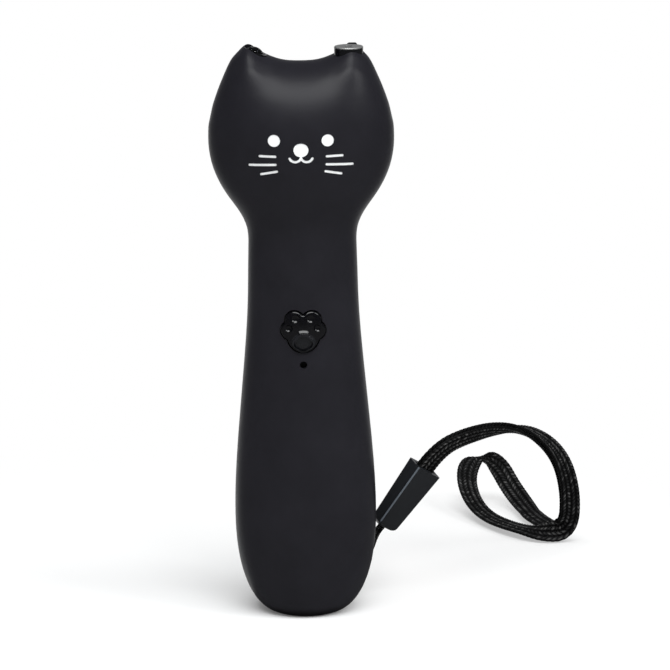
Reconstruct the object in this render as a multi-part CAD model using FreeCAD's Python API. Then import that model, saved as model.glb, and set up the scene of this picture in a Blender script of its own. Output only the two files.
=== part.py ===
import FreeCAD, Part
import math
import os
from FreeCAD import Vector

# Hand-held pet toy in the shape of a cat: a laser dot in one ear, a lamp in the other, a paw
# button at the front and a wrist strap at the lower rear. It stands on its flat foot.
# All sizes are millimetres. X is to the right as seen from the face, +Y is to the rear and
# +Z is up. The origin is the centre of the foot.

# Outer form of the housing
foot_half_width = 8.0
foot_half_depth = 9.0
belly_height = 27.0
belly_half_width = 18.45
belly_half_depth = 15.1
waist_height = 96.5
waist_half_width = 14.05
waist_half_depth = 12.2
head_height = 125.8
head_half_width = 23.97
head_half_depth = 16.0
saddle_height = head_height + 19.65
ear_tip_height = saddle_height + 4.55
ear_tip_offset = 13.3
underside_power = 2.3
waist_power = 0.9

# Housing wall, lip and parting line
wall = 1.8
lip_wall = 0.8
lip_height = 1.2
lip_clearance = 0.1
post_joint = 1.5

# Face, cut into the front shell and filled with white
face_cut_depth = 0.5
face_fill_sink = 0.12
eye_offset = 6.85
eye_height = head_height + 1.6
eye_radius = 1.56
nose_half_width = 1.92
nose_top = head_height + 0.95
nose_bottom = nose_top - 3.6
mouth_height = nose_bottom - 0.15
mouth_half_width = 2.9
mouth_drop = 1.05
stroke_width = 0.66

# Paw button and its switch
button_height = 77.0
button_rise = 1.0
button_gap = 0.3
button_flange = 0.8
button_well_half = 6.7
button_well_wall = 2.1
button_rest_gap = 0.1
button_flange_grow = 0.6
button_dome_across = 13.5
button_dome_up = 19.0
button_stem_radius = 2.0
button_travel = 0.3
toe_radius = 2.45
side_toe_radius = 2.35
pad_radius = 4.1
notch_radius = 0.5
button_edge_radius = 0.5
pad_rim_width = 0.6
pad_rim_rise = 0.3
pad_recess_depth = 0.45
plunger_radius = 1.65
plunger_clearance = 0.2
plunger_length = 2.0
switch_size = 6.0
switch_depth = 3.5

# Indicator under the button
indicator_drop = 8.7
indicator_radius = 0.95
indicator_clearance = 0.05
indicator_sink = 1.5
indicator_collar = 0.5
indicator_led_depth = 0.8

# Laser in the right ear
laser_offset = 12.45
laser_setback = -1.0
laser_top = ear_tip_height - 0.7
laser_radius = 3.75
laser_sleeve_wall = 0.65
laser_sleeve_length = 17.0
laser_cap_height = 0.35
laser_aperture_radius = 1.0
laser_lens_height = 1.6
laser_window_height = 0.5
laser_barrel_length = 12.6
laser_board_length = 10.0
laser_barrel_wall = 0.75
ear_bore_clearance = 0.1

# Lamp in the left ear
lamp_offset = -11.45
lamp_setback = -0.8
lamp_top = ear_tip_height - 1.7
lamp_tilt = 21.0
lamp_radius = 3.2
lamp_rim_wall = 0.65
lamp_length = 10.0
lamp_sink = 0.3
lamp_dome = 1.3
lamp_lens_height = 1.0
lamp_seat = 0.05

# Main board in the waist
board_thickness = 1.0
board_front = -2.5
board_below_indicator = 3.5
board_bottom = button_height - indicator_drop - board_below_indicator
board_length = 41.2
board_half_width = 8.0
board_post_offset = 5.4
board_post_radius = 1.8
board_screw_radius = 0.8

# Battery and its cradle
battery_radius = 7.1
battery_bottom = 13.4
battery_gap = 1.4
battery_length = board_bottom - battery_gap - battery_bottom
battery_setback = 3.5
cradle_clearance = 0.15
cradle_thickness = 1.2
pad_thickness = 1.2

# Charging socket at the lower rear
socket_height = 10.0
socket_half_width = 4.47
socket_thickness = 3.2
socket_length = 7.3
socket_recess = 1.0
socket_wall = 0.3
socket_clearance = 0.2
charge_board_half_width = 7.0
charge_board_front = -1.5
charge_board_back = 8.8

# Case screws
screw_head_radius = 1.9
screw_head_height = 1.3
screw_radius = 1.0
screw_seat_depth = 2.8
screw_reach = 4.5
screw_clearance = 0.1
case_boss_radius = 2.3
upper_screw_offset = 17.3
upper_screw_height = head_height - 6.3
lower_screw_offset = 12.1
lower_screw_height = 36.0

# Lanyard eyelet, thin cord, clip and wrist band
eyelet_height = 10.0
eyelet_angle = 32.0
eyelet_turn_radius = 2.6
eyelet_bore_radius = 1.15
eyelet_boss_radius = 5.2
cord_diameter = 1.0
clip_bottom = (20.2, 13.0, 18.43)
clip_length = 19.4
clip_lean = 36.0
clip_yaw = 30.0
clip_mouth_width = 8.2
clip_mouth_depth = 5.8
clip_tail_width = 6.4
clip_tail_depth = 4.4
clip_tail_round = 1.5
clip_edge_radius = 0.7
clip_slot_depth = 4.0
clip_hole_depth = 3.0
strand_spacing = 1.7
band_width = 6.0
band_thickness = 1.0
band_tube_diameter = 3.0
band_lead_in = 6.0

# Wiring
lead_diameter = 0.9
lead_spacing = 1.05
lead_bend = 1.0

# Shoulder of the cat's head: share of the rise from waist to head, share of the widening
SHOULDER = [(0.18, 0.02), (0.26, 0.093), (0.35, 0.235), (0.44, 0.42), (0.53, 0.60),
            (0.63, 0.76), (0.75, 0.897), (0.88, 0.978)]
# Ear outline: shares of the way from the saddle to the ear tip, then from there to the side
EAR_INSIDE = [(0.383, 0.099), (0.654, 0.40), (0.857, 0.765)]
EAR_OUTSIDE = [(0.125, 0.035), (0.36, 0.13), (0.505, 0.24), (0.632, 0.36), (0.742, 0.48),
               (0.84, 0.60), (0.922, 0.73), (0.985, 0.87)]
RING_POINTS = 24
SEAM_ANGLE = 75.0
CAP_ANGLES = (84.0, 78.0, 72.0, 66.0, 60.0, 54.0, 48.0, 42.0, 36.0, 30.0, 24.0, 18.0, 12.0, 6.0)
# Rings inside the wall are further apart, so that the surface doesn't fold under the ear tips
INNER_CAP_ANGLES = (80.0, 70.0, 60.0, 50.0, 40.0, 30.0, 20.0, 10.0)
# Route of the doubled band over its arch, from after the clip down to the floor
BAND_ARCH = [(42.5, 17.5, 41.6), (52.5, 28.0, 41.2), (62.0, 40.5, 36.4), (69.5, 51.0, 27.3),
             (73.0, 59.0, 15.0), (72.6, 62.4, 3.6)]
# Route of the single band from there round its loop on the floor and back towards that corner
BAND_LOOP = [(64.5, 62.8, 2.6), (56.5, 71.8, 2.2), (50.5, 83.0, 2.2), (46.8, 93.5, 4.2),
             (45.3, 101.5, 8.5), (46.9, 107.3, 12.0), (51.0, 110.3, 12.7), (54.8, 108.1, 10.3),
             (57.8, 103.0, 5.7), (61.2, 94.0, 2.7), (64.4, 80.0, 1.95), (69.0, 69.6, 2.1)]
# Whiskers on one side: inner end and outer end, across and below the widest of the head
WHISKERS = [((6.6, 2.5), (10.5, 2.45)), ((6.55, 4.6), (13.1, 4.9)), ((6.25, 6.4), (10.2, 7.2))]

SIDES = (-1, 1)
parts = {}


def solid_of(shape):
    """The single solid of a shape, or a compound of its solids."""
    solids = shape.Solids
    return solids[0] if len(solids) == 1 else Part.makeCompound(solids)


def cylinder(start, end, radius):
    axis = end - start
    return Part.makeCylinder(radius, axis.Length, start, axis)


def tube(start, end, outer, inner):
    return cylinder(start, end, outer).cut(cylinder(start, end, inner))


def block(x0, x1, y0, y1, z0, z1):
    return Part.makeBox(x1 - x0, y1 - y0, z1 - z0, Vector(x0, y0, z0))


def fuse_all(shapes):
    first, rest = shapes[0], shapes[1:]
    return first.fuse(rest) if rest else first


# Housing surface

def handle_rows():
    """Height, half width and half depth of the rings from the foot to the widest of the head."""
    rows = [(0.0, foot_half_width, foot_half_depth)]
    for share in (0.02, 0.055, 0.13, 0.25, 0.42, 0.67, 1.0):
        grow = math.sqrt(1.0 - (1.0 - share) ** underside_power)
        rows.append((belly_height * share,
                     foot_half_width + (belly_half_width - foot_half_width) * grow,
                     foot_half_depth + (belly_half_depth - foot_half_depth) * grow))
    for share in (0.2, 0.4, 0.6, 0.8, 1.0):
        shrink = (1.0 - math.cos(math.pi * share ** waist_power)) / 2.0
        rows.append((belly_height + (waist_height - belly_height) * share,
                     belly_half_width + (waist_half_width - belly_half_width) * shrink,
                     belly_half_depth + (waist_half_depth - belly_half_depth) * shrink))
    for share, grow in SHOULDER + [(1.0, 1.0)]:
        rows.append((waist_height + (head_height - waist_height) * share,
                     waist_half_width + (head_half_width - waist_half_width) * grow,
                     waist_half_depth + (head_half_depth - waist_half_depth) * grow))
    return rows


def half_sizes(height):
    """Half width and half depth of the handle at a height, between two rings."""
    rows = handle_rows()
    for low, high in zip(rows, rows[1:]):
        if height <= high[0]:
            share = (height - low[0]) / (high[0] - low[0])
            return (low[1] + (high[1] - low[1]) * share, low[2] + (high[2] - low[2]) * share)
    return rows[-1][1], rows[-1][2]


def surface_depth(x, height):
    """Distance of the housing's outside from the parting plane."""
    half_width, half_depth = half_sizes(height)
    return half_depth * math.sqrt(1.0 - (x / half_width) ** 2)


def ear_outline():
    """Front outline of the top of the head, from the saddle over the ear to the side."""
    points = [Vector(0, 0, saddle_height)]
    for across, up in EAR_INSIDE:
        points.append(Vector(ear_tip_offset * across, 0,
                             saddle_height + (ear_tip_height - saddle_height) * up))
    points.append(Vector(ear_tip_offset, 0, ear_tip_height))
    for across, down in EAR_OUTSIDE:
        points.append(Vector(ear_tip_offset + (head_half_width - ear_tip_offset) * across, 0,
                             ear_tip_height - (ear_tip_height - head_height) * down))
    points.append(Vector(head_half_width, 0, head_height))
    curve = Part.BSplineCurve()
    curve.interpolate(Points=points, InitialTangent=Vector(1, 0, 0), FinalTangent=Vector(0, 0, -1))
    return curve


EAR_CURVE = ear_outline()


def top_height(x):
    """Height of the front outline above a place across the head."""
    low, high = EAR_CURVE.FirstParameter, EAR_CURVE.LastParameter
    for _ in range(34):
        middle = (low + high) / 2.0
        if EAR_CURVE.value(middle).x < abs(x):
            low = middle
        else:
            high = middle
    return EAR_CURVE.value((low + high) / 2.0).z


def cap_point(tilt, turn):
    """Point of the head's dome. tilt is 90 at its widest ring and 0 at the saddle."""
    reach = math.sin(math.radians(tilt))
    c, s = math.cos(math.radians(turn)), math.sin(math.radians(turn))
    x = head_half_width * reach * c
    y = head_half_depth * reach * s
    lift = math.sqrt((1.0 - reach ** 2) / (1.0 - (reach * c) ** 2))
    return Vector(x, y, head_height + (top_height(x) - head_height) * lift)


def cap_normal(tilt, turn):
    along = cap_point(tilt + 0.5, turn) - cap_point(tilt - 0.5, turn)
    around = cap_point(tilt, turn + 0.5) - cap_point(tilt, turn - 0.5)
    return along.cross(around).normalize()


def ring(points):
    """Closed curve through evenly numbered points, so that all rings share their parameters."""
    curve = Part.BSplineCurve()
    step = 1.0 / len(points)
    curve.interpolate(Points=points, PeriodicFlag=True,
                      Parameters=[step * i for i in range(len(points) + 1)])
    return curve


def handle_rings(inset, turns):
    rows = handle_rows()
    rings = []
    for i, (height, half_width, half_depth) in enumerate(rows):
        if i == 0:
            out, up = 0.0, -1.0
        elif i == len(rows) - 1:
            out, up = 1.0, 0.0
        else:
            rise = rows[i + 1][0] - rows[i - 1][0]
            widen = rows[i + 1][1] - rows[i - 1][1]
            slope = math.hypot(rise, widen)
            out, up = rise / slope, -widen / slope
        rings.append(ring([Vector((half_width - inset * out) * math.cos(math.radians(t)),
                                  (half_depth - inset * out) * math.sin(math.radians(t)),
                                  height - inset * up) for t in turns]))
    return rings


def housing_form(inset):
    """The cat's outer form, moved inwards by an even distance, as one solid.

    Rings run up the handle and over the dome to a pole in the saddle. One surface passes
    through all of them, and a flat disc closes the foot.
    """
    turns = [SEAM_ANGLE + 360.0 * i / RING_POINTS for i in range(RING_POINTS)]
    rings = handle_rings(inset, turns)
    for tilt in INNER_CAP_ANGLES if inset > wall / 3.0 else CAP_ANGLES:
        rings.append(ring([cap_point(tilt, t) - cap_normal(tilt, t) * inset for t in turns]))
    first = rings[0]
    pole = Vector(0, 0, saddle_height - inset)
    nets = [curve.getPoles() for curve in rings] + [[pole] * first.NbPoles]
    spacing = [0.0]
    for low, high in zip(nets, nets[1:]):
        step = sum((q - p).Length for p, q in zip(low, high)) / len(low)
        spacing.append(spacing[-1] + step)
    spacing = [value / spacing[-1] for value in spacing]
    columns = []
    for j in range(first.NbPoles):
        column = Part.BSplineCurve()
        column.interpolate(Points=[net[j] for net in nets], Parameters=spacing)
        columns.append(column)
    surface = Part.BSplineSurface()
    surface.buildFromPolesMultsKnots(
        [column.getPoles() for column in columns], first.getMultiplicities(),
        columns[0].getMultiplicities(), first.getKnots(), columns[0].getKnots(),
        True, False, first.Degree, columns[0].Degree)
    shell = Part.makeShell([surface.toShape(), Part.Face(Part.Wire([first.toShape()]))])
    shell.sewShape()
    solid = Part.Solid(shell)
    if solid.Volume < 0:
        solid.reverse()
    return solid


OUTER = housing_form(0.0)
INNER = housing_form(wall)
MIDDLE = housing_form(wall / 2.0)
LIP_OUTSIDE = housing_form(wall - lip_wall)
LIP_OUTSIDE_LOOSE = housing_form(wall - lip_wall - lip_clearance)
REACH = 4.0 * head_half_width
FRONT_SPACE = block(-REACH, REACH, -REACH, 0, -REACH, 3 * REACH)
REAR_SPACE = block(-REACH, REACH, 0, REACH, -REACH, 3 * REACH)


# Flat outlines in the plane of the face, which are cut through along Y

def disc(x, z, radius):
    return Part.Face(Part.Wire([Part.makeCircle(radius, Vector(x, 0, z), Vector(0, 1, 0))]))


def flat(*points):
    return [Vector(x, 0, z) for x, z in points]


def arc(p, q, r):
    return Part.Arc(p, q, r).toShape()


def slot_face(start, end, width):
    """A straight stroke with round ends."""
    along = (end - start).normalize()
    side = Vector(-along.z, 0, along.x) * (width / 2.0)
    tip = along * (width / 2.0)
    edges = [Part.LineSegment(start + side, end + side).toShape(),
             arc(end + side, end + tip, end - side),
             Part.LineSegment(end - side, start - side).toShape(),
             arc(start - side, start - tip, start + side)]
    return Part.Face(Part.Wire(edges))


def arc_stroke(start, middle, end, width):
    """A curved stroke with round ends."""
    centre = arc(start, middle, end).Curve.Center
    half = width / 2.0

    def off(point, distance):
        return point + (point - centre).normalize() * distance

    tangent_start = (middle - start).normalize() * half
    tangent_end = (end - middle).normalize() * half
    edges = [arc(off(start, half), off(middle, half), off(end, half)),
             arc(off(end, half), end + tangent_end, off(end, -half)),
             arc(off(end, -half), off(middle, -half), off(start, -half)),
             arc(off(start, -half), start - tangent_start, off(start, half))]
    return Part.Face(Part.Wire(edges))


def prism(face, start_y, end_y):
    moved = face.copy()
    moved.translate(Vector(0, start_y, 0))
    return moved.extrude(Vector(0, end_y - start_y, 0))


def face_outlines():
    """Two eyes, a nose with its mouth, and three whiskers on each side."""
    outlines = [disc(side * eye_offset, eye_height, eye_radius) for side in SIDES]
    middle = nose_bottom + 0.55 * (nose_top - nose_bottom)
    shoulder = nose_top - 0.15 * (nose_top - nose_bottom)
    top, right, tip, left = flat((0, nose_top), (nose_half_width, middle), (0, nose_bottom),
                                 (-nose_half_width, middle))
    upper_right, upper_left = flat((0.75 * nose_half_width, shoulder),
                                   (-0.75 * nose_half_width, shoulder))
    low_right, low_left = flat((0.2 * nose_half_width, nose_bottom + 0.1),
                               (-0.2 * nose_half_width, nose_bottom + 0.1))
    nose = Part.Face(Part.Wire([arc(upper_left, top, upper_right), arc(upper_right, right, low_right),
                                arc(low_right, tip, low_left), arc(low_left, left, upper_left)]))
    muzzle = nose
    for side in SIDES:
        start, middle, end = flat((0, mouth_height), (side * 0.58 * mouth_half_width,
                                                      mouth_height - mouth_drop),
                                  (side * mouth_half_width, mouth_height - 0.15))
        muzzle = muzzle.fuse(arc_stroke(start, middle, end, stroke_width))
    outlines.append(muzzle.removeSplitter())
    for side in SIDES:
        for inner, outer in WHISKERS:
            outlines.append(slot_face(Vector(side * inner[0], 0, head_height - inner[1]),
                                      Vector(side * outer[0], 0, head_height - outer[1]),
                                      stroke_width))
    return outlines


def paw_outline(grow):
    """Two upper toes, two side toes and the pad, with rounded notches between them."""
    lobes = [disc(0, button_height - 1.25, pad_radius)]
    for side in SIDES:
        lobes.append(disc(side * 2.2, button_height + 2.9, toe_radius))
        lobes.append(disc(side * 3.4, button_height + 0.3, side_toe_radius))
    paw = lobes[0].fuse(lobes[1:]).removeSplitter()
    wire = paw.Faces[0].OuterWire
    rounded = wire.makeOffset2D(notch_radius).makeOffset2D(-notch_radius)
    if grow:
        rounded = rounded.makeOffset2D(grow)
    return Part.Face(rounded)


# Places of the modules

BUTTON_FACE = surface_depth(0, button_height)
INDICATOR_HEIGHT = button_height - indicator_drop
LASER_AXIS = Vector(laser_offset, laser_setback, 0)
LAMP_UP = Vector(math.sin(math.radians(lamp_tilt)), 0, math.cos(math.radians(lamp_tilt)))
LAMP_TOP = Vector(lamp_offset, lamp_setback, lamp_top)
BATTERY_TOP = battery_bottom + battery_length
BOARD_BACK = board_front + board_thickness
BOARD_TOP = board_bottom + board_length
BOARD_POSTS = [(side * board_post_offset, height) for side in SIDES
               for height in (board_bottom + 2.4, BOARD_TOP - 2.4)]
CASE_SCREWS = [(side * upper_screw_offset, upper_screw_height) for side in SIDES]
CASE_SCREWS += [(side * lower_screw_offset, lower_screw_height) for side in SIDES]
CRADLE_HEIGHTS = (battery_bottom + 0.18 * battery_length, battery_bottom + 0.72 * battery_length)
SOCKET_FACE = surface_depth(0, socket_height) - socket_recess
SOCKET_BACK = SOCKET_FACE - socket_length
CHARGE_BOARD_TOP = socket_height - socket_thickness / 2.0


def eyelet_frame():
    """Centre of the eyelet on the rear shell, the way out, the way up and the way across."""
    half_width, half_depth = half_sizes(eyelet_height)
    turn = math.radians(eyelet_angle)
    centre = Vector(half_width * math.cos(turn), half_depth * math.sin(turn), eyelet_height)
    across = Vector(-half_width * math.sin(turn), half_depth * math.cos(turn), 0).normalize()
    above = half_sizes(eyelet_height + 1.0)
    rise = Vector((above[0] - half_width) * math.cos(turn),
                  (above[1] - half_depth) * math.sin(turn), 1.0).normalize()
    out = across.cross(rise).normalize()
    return centre, out, rise, across


def laser_at(height):
    return LASER_AXIS + Vector(0, 0, height)


def lamp_at(depth):
    """Point on the lamp's axis, a distance below its rim."""
    return LAMP_TOP - LAMP_UP * depth


# Cutters and additions that both shells share

def laser_bore():
    return cylinder(laser_at(laser_top - laser_sleeve_length - 1.0), laser_at(laser_top + 10.0),
                    laser_radius + ear_bore_clearance)


def lamp_bore():
    return cylinder(lamp_at(lamp_length + 1.0), lamp_at(-10.0), lamp_radius + ear_bore_clearance)


def cradle_ribs(low_y, high_y):
    """Ribs round the battery and in the ears, inside one half of the housing."""
    ribs = []
    for height in CRADLE_HEIGHTS + (battery_bottom - cradle_thickness,):
        ribs.append(block(-belly_half_width, belly_half_width, low_y, high_y,
                          height, height + cradle_thickness))
    for offset, height in ((laser_offset, laser_top - 15.5), (laser_offset, laser_top - 8.0),
                           (lamp_at(7.0).x, lamp_top - 8.0)):
        ribs.append(block(offset - 5.2, offset + 5.2, low_y, high_y,
                          height, height + cradle_thickness))
    return ribs


def inner_cutters():
    """What the battery and the two ear modules need free of ribs and bosses."""
    battery = cylinder(Vector(0, battery_setback, battery_bottom),
                       Vector(0, battery_setback, BATTERY_TOP),
                       battery_radius + cradle_clearance)
    return [battery, laser_bore(), lamp_bore()]


def screw_seat(x, height):
    return surface_depth(x, height) - screw_seat_depth


def front_shell():
    """Front half: groove for the lip, posts, button well, indicator hole and engraved face."""
    blank = OUTER.common(FRONT_SPACE).cut(INNER)
    adds = cradle_ribs(-head_half_depth, -lip_height - 0.3)
    for x, height in BOARD_POSTS:
        adds.append(cylinder(Vector(x, board_front, height), Vector(x, -head_half_depth, height),
                             board_post_radius))
    for x, height in CASE_SCREWS:
        adds.append(cylinder(Vector(x, -post_joint, height), Vector(x, -head_half_depth, height),
                             case_boss_radius))
    adds = fuse_all(adds).common(MIDDLE)
    groove = LIP_OUTSIDE_LOOSE.common(block(-REACH, REACH, -lip_height - 0.15, 1, -REACH, REACH * 3))
    shell = blank.cut(groove).fuse(adds)
    cutters = inner_cutters()
    for x, height in BOARD_POSTS:
        cutters.append(cylinder(Vector(x, board_front - 3.0, height), Vector(x, 0, height),
                                board_screw_radius + screw_clearance))
    for x, height in CASE_SCREWS:
        cutters.append(cylinder(Vector(x, -screw_reach - 0.6, height), Vector(x, 0, height),
                                screw_radius + screw_clearance))
    cutters.append(prism(paw_outline(button_gap), -head_half_depth - 5, -3.0))
    cutters.append(cylinder(Vector(0, -head_half_depth, INDICATOR_HEIGHT),
                            Vector(0, -3.0, INDICATOR_HEIGHT), indicator_radius))
    cutters.append(block(-button_well_half, button_well_half, -BUTTON_FACE + button_well_wall, -3.0,
                         button_height - button_well_half, button_height + button_well_half))
    shell = shell.cut(cutters)
    return solid_of(shell.cut(engraving(0.0, face_cut_depth)))


def engraving(sink, depth):
    """The face between two depths under the outside, as separate solids."""
    skin = housing_form(sink).common(FRONT_SPACE) if sink else OUTER.common(FRONT_SPACE)
    floor = housing_form(depth)
    window = block(-16, 16, -head_half_depth - 1, -head_half_depth / 2.0,
                   nose_bottom - 8, nose_top + 4)
    skin = skin.common(window).cut(floor)
    bars = [fuse_all([prism(face, -head_half_depth - 2, -2.0) for face in outline.Faces])
            for outline in face_outlines()]
    return Part.makeCompound([bar.common(skin) for bar in bars])


def rear_shell():
    """Rear half: lip, screw bosses, socket port and the lanyard eyelet."""
    lip = LIP_OUTSIDE.common(block(-REACH, REACH, -lip_height, 1.0, -REACH, REACH * 3))
    blank = OUTER.common(REAR_SPACE).fuse(lip).cut(INNER)
    adds = cradle_ribs(0.6, head_half_depth)
    adds.append(block(-belly_half_width, belly_half_width, 2.0, head_half_depth,
                      BATTERY_TOP + pad_thickness, BATTERY_TOP + pad_thickness + cradle_thickness))
    for x, height in CASE_SCREWS:
        adds.append(cylinder(Vector(x, -post_joint, height), Vector(x, head_half_depth, height),
                             case_boss_radius))
    for side in SIDES:
        adds.append(block(side * charge_board_half_width - 2.0, side * charge_board_half_width + 2.0,
                          SOCKET_BACK, head_half_depth,
                          CHARGE_BOARD_TOP - board_thickness - 1.5,
                          CHARGE_BOARD_TOP - board_thickness))
    centre, out, rise, across = eyelet_frame()
    adds.append(Part.makeSphere(eyelet_boss_radius, centre))
    adds = fuse_all(adds).common(MIDDLE)
    shell = blank.fuse(adds)
    cutters = inner_cutters()
    for x, height in CASE_SCREWS:
        seat = screw_seat(x, height)
        cutters.append(cylinder(Vector(x, -post_joint - 1, height), Vector(x, seat + 1, height),
                                screw_radius + screw_clearance))
        cutters.append(cylinder(Vector(x, seat, height), Vector(x, 2 * head_half_depth, height),
                                screw_head_radius + 0.2))
    cutters.append(socket_port())
    cutters.append(Part.makeTorus(eyelet_turn_radius, eyelet_bore_radius, centre, across))
    return solid_of(shell.cut(cutters))


def socket_port():
    """Opening round the charging socket, wider outside for the plug's moulding."""
    half = socket_half_width + socket_clearance
    thick = socket_thickness + 2 * socket_clearance
    inner = stadium(half, thick, SOCKET_BACK, 2 * head_half_depth)
    outer = stadium(half + 1.4, thick + 2.8, SOCKET_FACE + 0.2, 2 * head_half_depth)
    return inner.fuse(outer)


def stadium(half_width, thickness, start_y, end_y):
    """Flat bar with round sides at the socket's height, along Y."""
    reach = half_width - thickness / 2.0
    return prism(slot_face(Vector(-reach, 0, socket_height), Vector(reach, 0, socket_height),
                           thickness), start_y, end_y)


# Paw button and what it presses

def button_dome(sink):
    """Swollen form whose front is the button's glossy face."""
    form = FreeCAD.Matrix()
    form.scale(button_dome_across - sink, BUTTON_FACE + button_rise - sink, button_dome_up - sink)
    ball = Part.makeSphere(1.0).transformGeometry(form)
    ball.translate(Vector(0, 0, button_height))
    return ball


FLANGE_FRONT = BUTTON_FACE - button_well_wall - button_rest_gap
PLUNGER_FRONT = -board_front + switch_depth + plunger_length - 0.8


def domed_key(outline, sink, back_y, edge_radius):
    """A block with this outline, cut off by the dome, with its front edge rounded."""
    key = prism(outline, -2 * head_half_depth, back_y).common(button_dome(sink))
    face = max(key.Faces, key=lambda one: -one.CenterOfMass.y)
    return key.makeFillet(edge_radius, face.Edges)


def paw_button():
    """Domed paw with toe dimples and a pad sunk in a raised rim, a holding flange and a stem."""
    key = domed_key(paw_outline(0.0), 0.0, -FLANGE_FRONT, button_edge_radius)
    pad = disc(0, button_height - 2.9, 2.0).fuse(
        [disc(side * 1.15, button_height - 3.1, 1.3) for side in SIDES]).removeSplitter().Faces[0]
    rim = Part.Face(pad.OuterWire.makeOffset2D(pad_rim_width))
    key = key.fuse(domed_key(rim, -pad_rim_rise, -BUTTON_FACE + 0.5, pad_rim_rise - 0.02))
    front = BUTTON_FACE + button_rise
    for side in SIDES:
        for across, up, radius, depth in ((1.95, 3.6, 1.45, 0.5), (3.8, 1.0, 1.15, 0.5)):
            x = side * across
            drop = front * (1.0 - math.sqrt(1.0 - (x / button_dome_across) ** 2
                                            - (up / button_dome_up) ** 2))
            key = key.cut(Part.makeSphere(radius, Vector(x, -front + drop - radius + depth,
                                                         button_height + up)))
    sunk = prism(pad, -2 * head_half_depth, -BUTTON_FACE + 1.0)
    key = key.cut(sunk.cut(button_dome(pad_recess_depth)))
    flange = prism(paw_outline(button_flange_grow), -FLANGE_FRONT, -FLANGE_FRONT + button_flange)
    stem = cylinder(Vector(0, -FLANGE_FRONT + button_flange / 2.0, button_height),
                    Vector(0, -PLUNGER_FRONT, button_height), button_stem_radius)
    return solid_of(key.fuse([flange, stem]))


def switch_plunger():
    return cylinder(Vector(0, -PLUNGER_FRONT, button_height),
                    Vector(0, -PLUNGER_FRONT + plunger_length, button_height), plunger_radius)


def switch_body():
    """Tact switch on the board, open in front for its plunger, with four legs."""
    half = switch_size / 2.0
    body = block(-half, half, board_front - switch_depth, board_front,
                 button_height - half, button_height + half)
    end = -PLUNGER_FRONT + plunger_length + button_travel + 0.2
    well = cylinder(Vector(0, -2 * head_half_depth, button_height), Vector(0, end, button_height),
                    plunger_radius + plunger_clearance)
    legs = [block(x - 0.5, x + 0.5, board_front - 0.3, board_front, z - 0.35, z + 0.35)
            for x in (-half - 0.5, half + 0.5) for z in (button_height - 2.2, button_height + 2.2)]
    return solid_of(body.cut(well).fuse(legs))


def indicator():
    """Light pipe in its hole under the button, and the small lamp behind it on the board."""
    front = -surface_depth(0, INDICATOR_HEIGHT) + indicator_sink
    inside = -surface_depth(0, INDICATOR_HEIGHT) + wall + 0.1
    back = board_front - indicator_led_depth - 0.1
    pipe_radius = indicator_radius - indicator_clearance
    pipe = cylinder(Vector(0, front, INDICATOR_HEIGHT), Vector(0, back, INDICATOR_HEIGHT), pipe_radius)
    collar = cylinder(Vector(0, inside, INDICATOR_HEIGHT),
                      Vector(0, inside + 0.8, INDICATOR_HEIGHT), pipe_radius + indicator_collar)
    lamp = block(-0.8, 0.8, board_front - indicator_led_depth, board_front,
                 INDICATOR_HEIGHT - 0.4, INDICATOR_HEIGHT + 0.4)
    return solid_of(pipe.fuse(collar)), lamp


# Laser in the right ear

def laser_parts():
    """Black sleeve, silver cap with its window, brass barrel with lens, diode and driver board."""
    bottom = laser_top - laser_sleeve_length
    seat = laser_top - laser_cap_height
    bore = laser_radius - laser_sleeve_wall
    barrel_top = seat - 1.3
    barrel_bottom = barrel_top - laser_barrel_length
    barrel_radius = bore - 0.05
    barrel_bore = barrel_radius - laser_barrel_wall
    sleeve = tube(laser_at(bottom), laser_at(seat), laser_radius, bore)
    cap = cylinder(laser_at(seat), laser_at(laser_top), laser_radius)
    rim = [edge for edge in cap.Edges if abs(edge.CenterOfMass.z - laser_top) < 0.001]
    cap = cap.makeChamfer(0.15, rim)
    cap = cap.fuse(cylinder(laser_at(seat - 1.2), laser_at(seat), bore - 0.02))
    cap = cap.cut(cylinder(laser_at(seat - 2), laser_at(laser_top + 1), laser_aperture_radius))
    window = cylinder(laser_at(laser_top - 0.1 - laser_window_height), laser_at(laser_top - 0.1),
                      laser_aperture_radius - 0.01)
    barrel = tube(laser_at(barrel_bottom), laser_at(barrel_top), barrel_radius, barrel_bore)
    lens = cylinder(laser_at(barrel_top - 1.0 - laser_lens_height), laser_at(barrel_top - 1.0),
                    barrel_bore - 0.02)
    diode = cylinder(laser_at(barrel_bottom), laser_at(barrel_bottom + 1.2), barrel_bore - 0.02)
    diode = diode.fuse(cylinder(laser_at(barrel_bottom + 1.2), laser_at(barrel_bottom + 3.6),
                                barrel_bore - 0.6))
    board = block(laser_offset - 2.2, laser_offset + 2.2, laser_setback - 0.4, laser_setback + 0.4,
                  barrel_bottom - laser_board_length, barrel_bottom)
    return {"laser_sleeve": sleeve, "laser_cap": solid_of(cap), "laser_window": window,
            "laser_barrel": barrel, "laser_lens": lens, "laser_diode": solid_of(diode),
            "laser_driver_board": board}


# Lamp in the left ear

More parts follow.
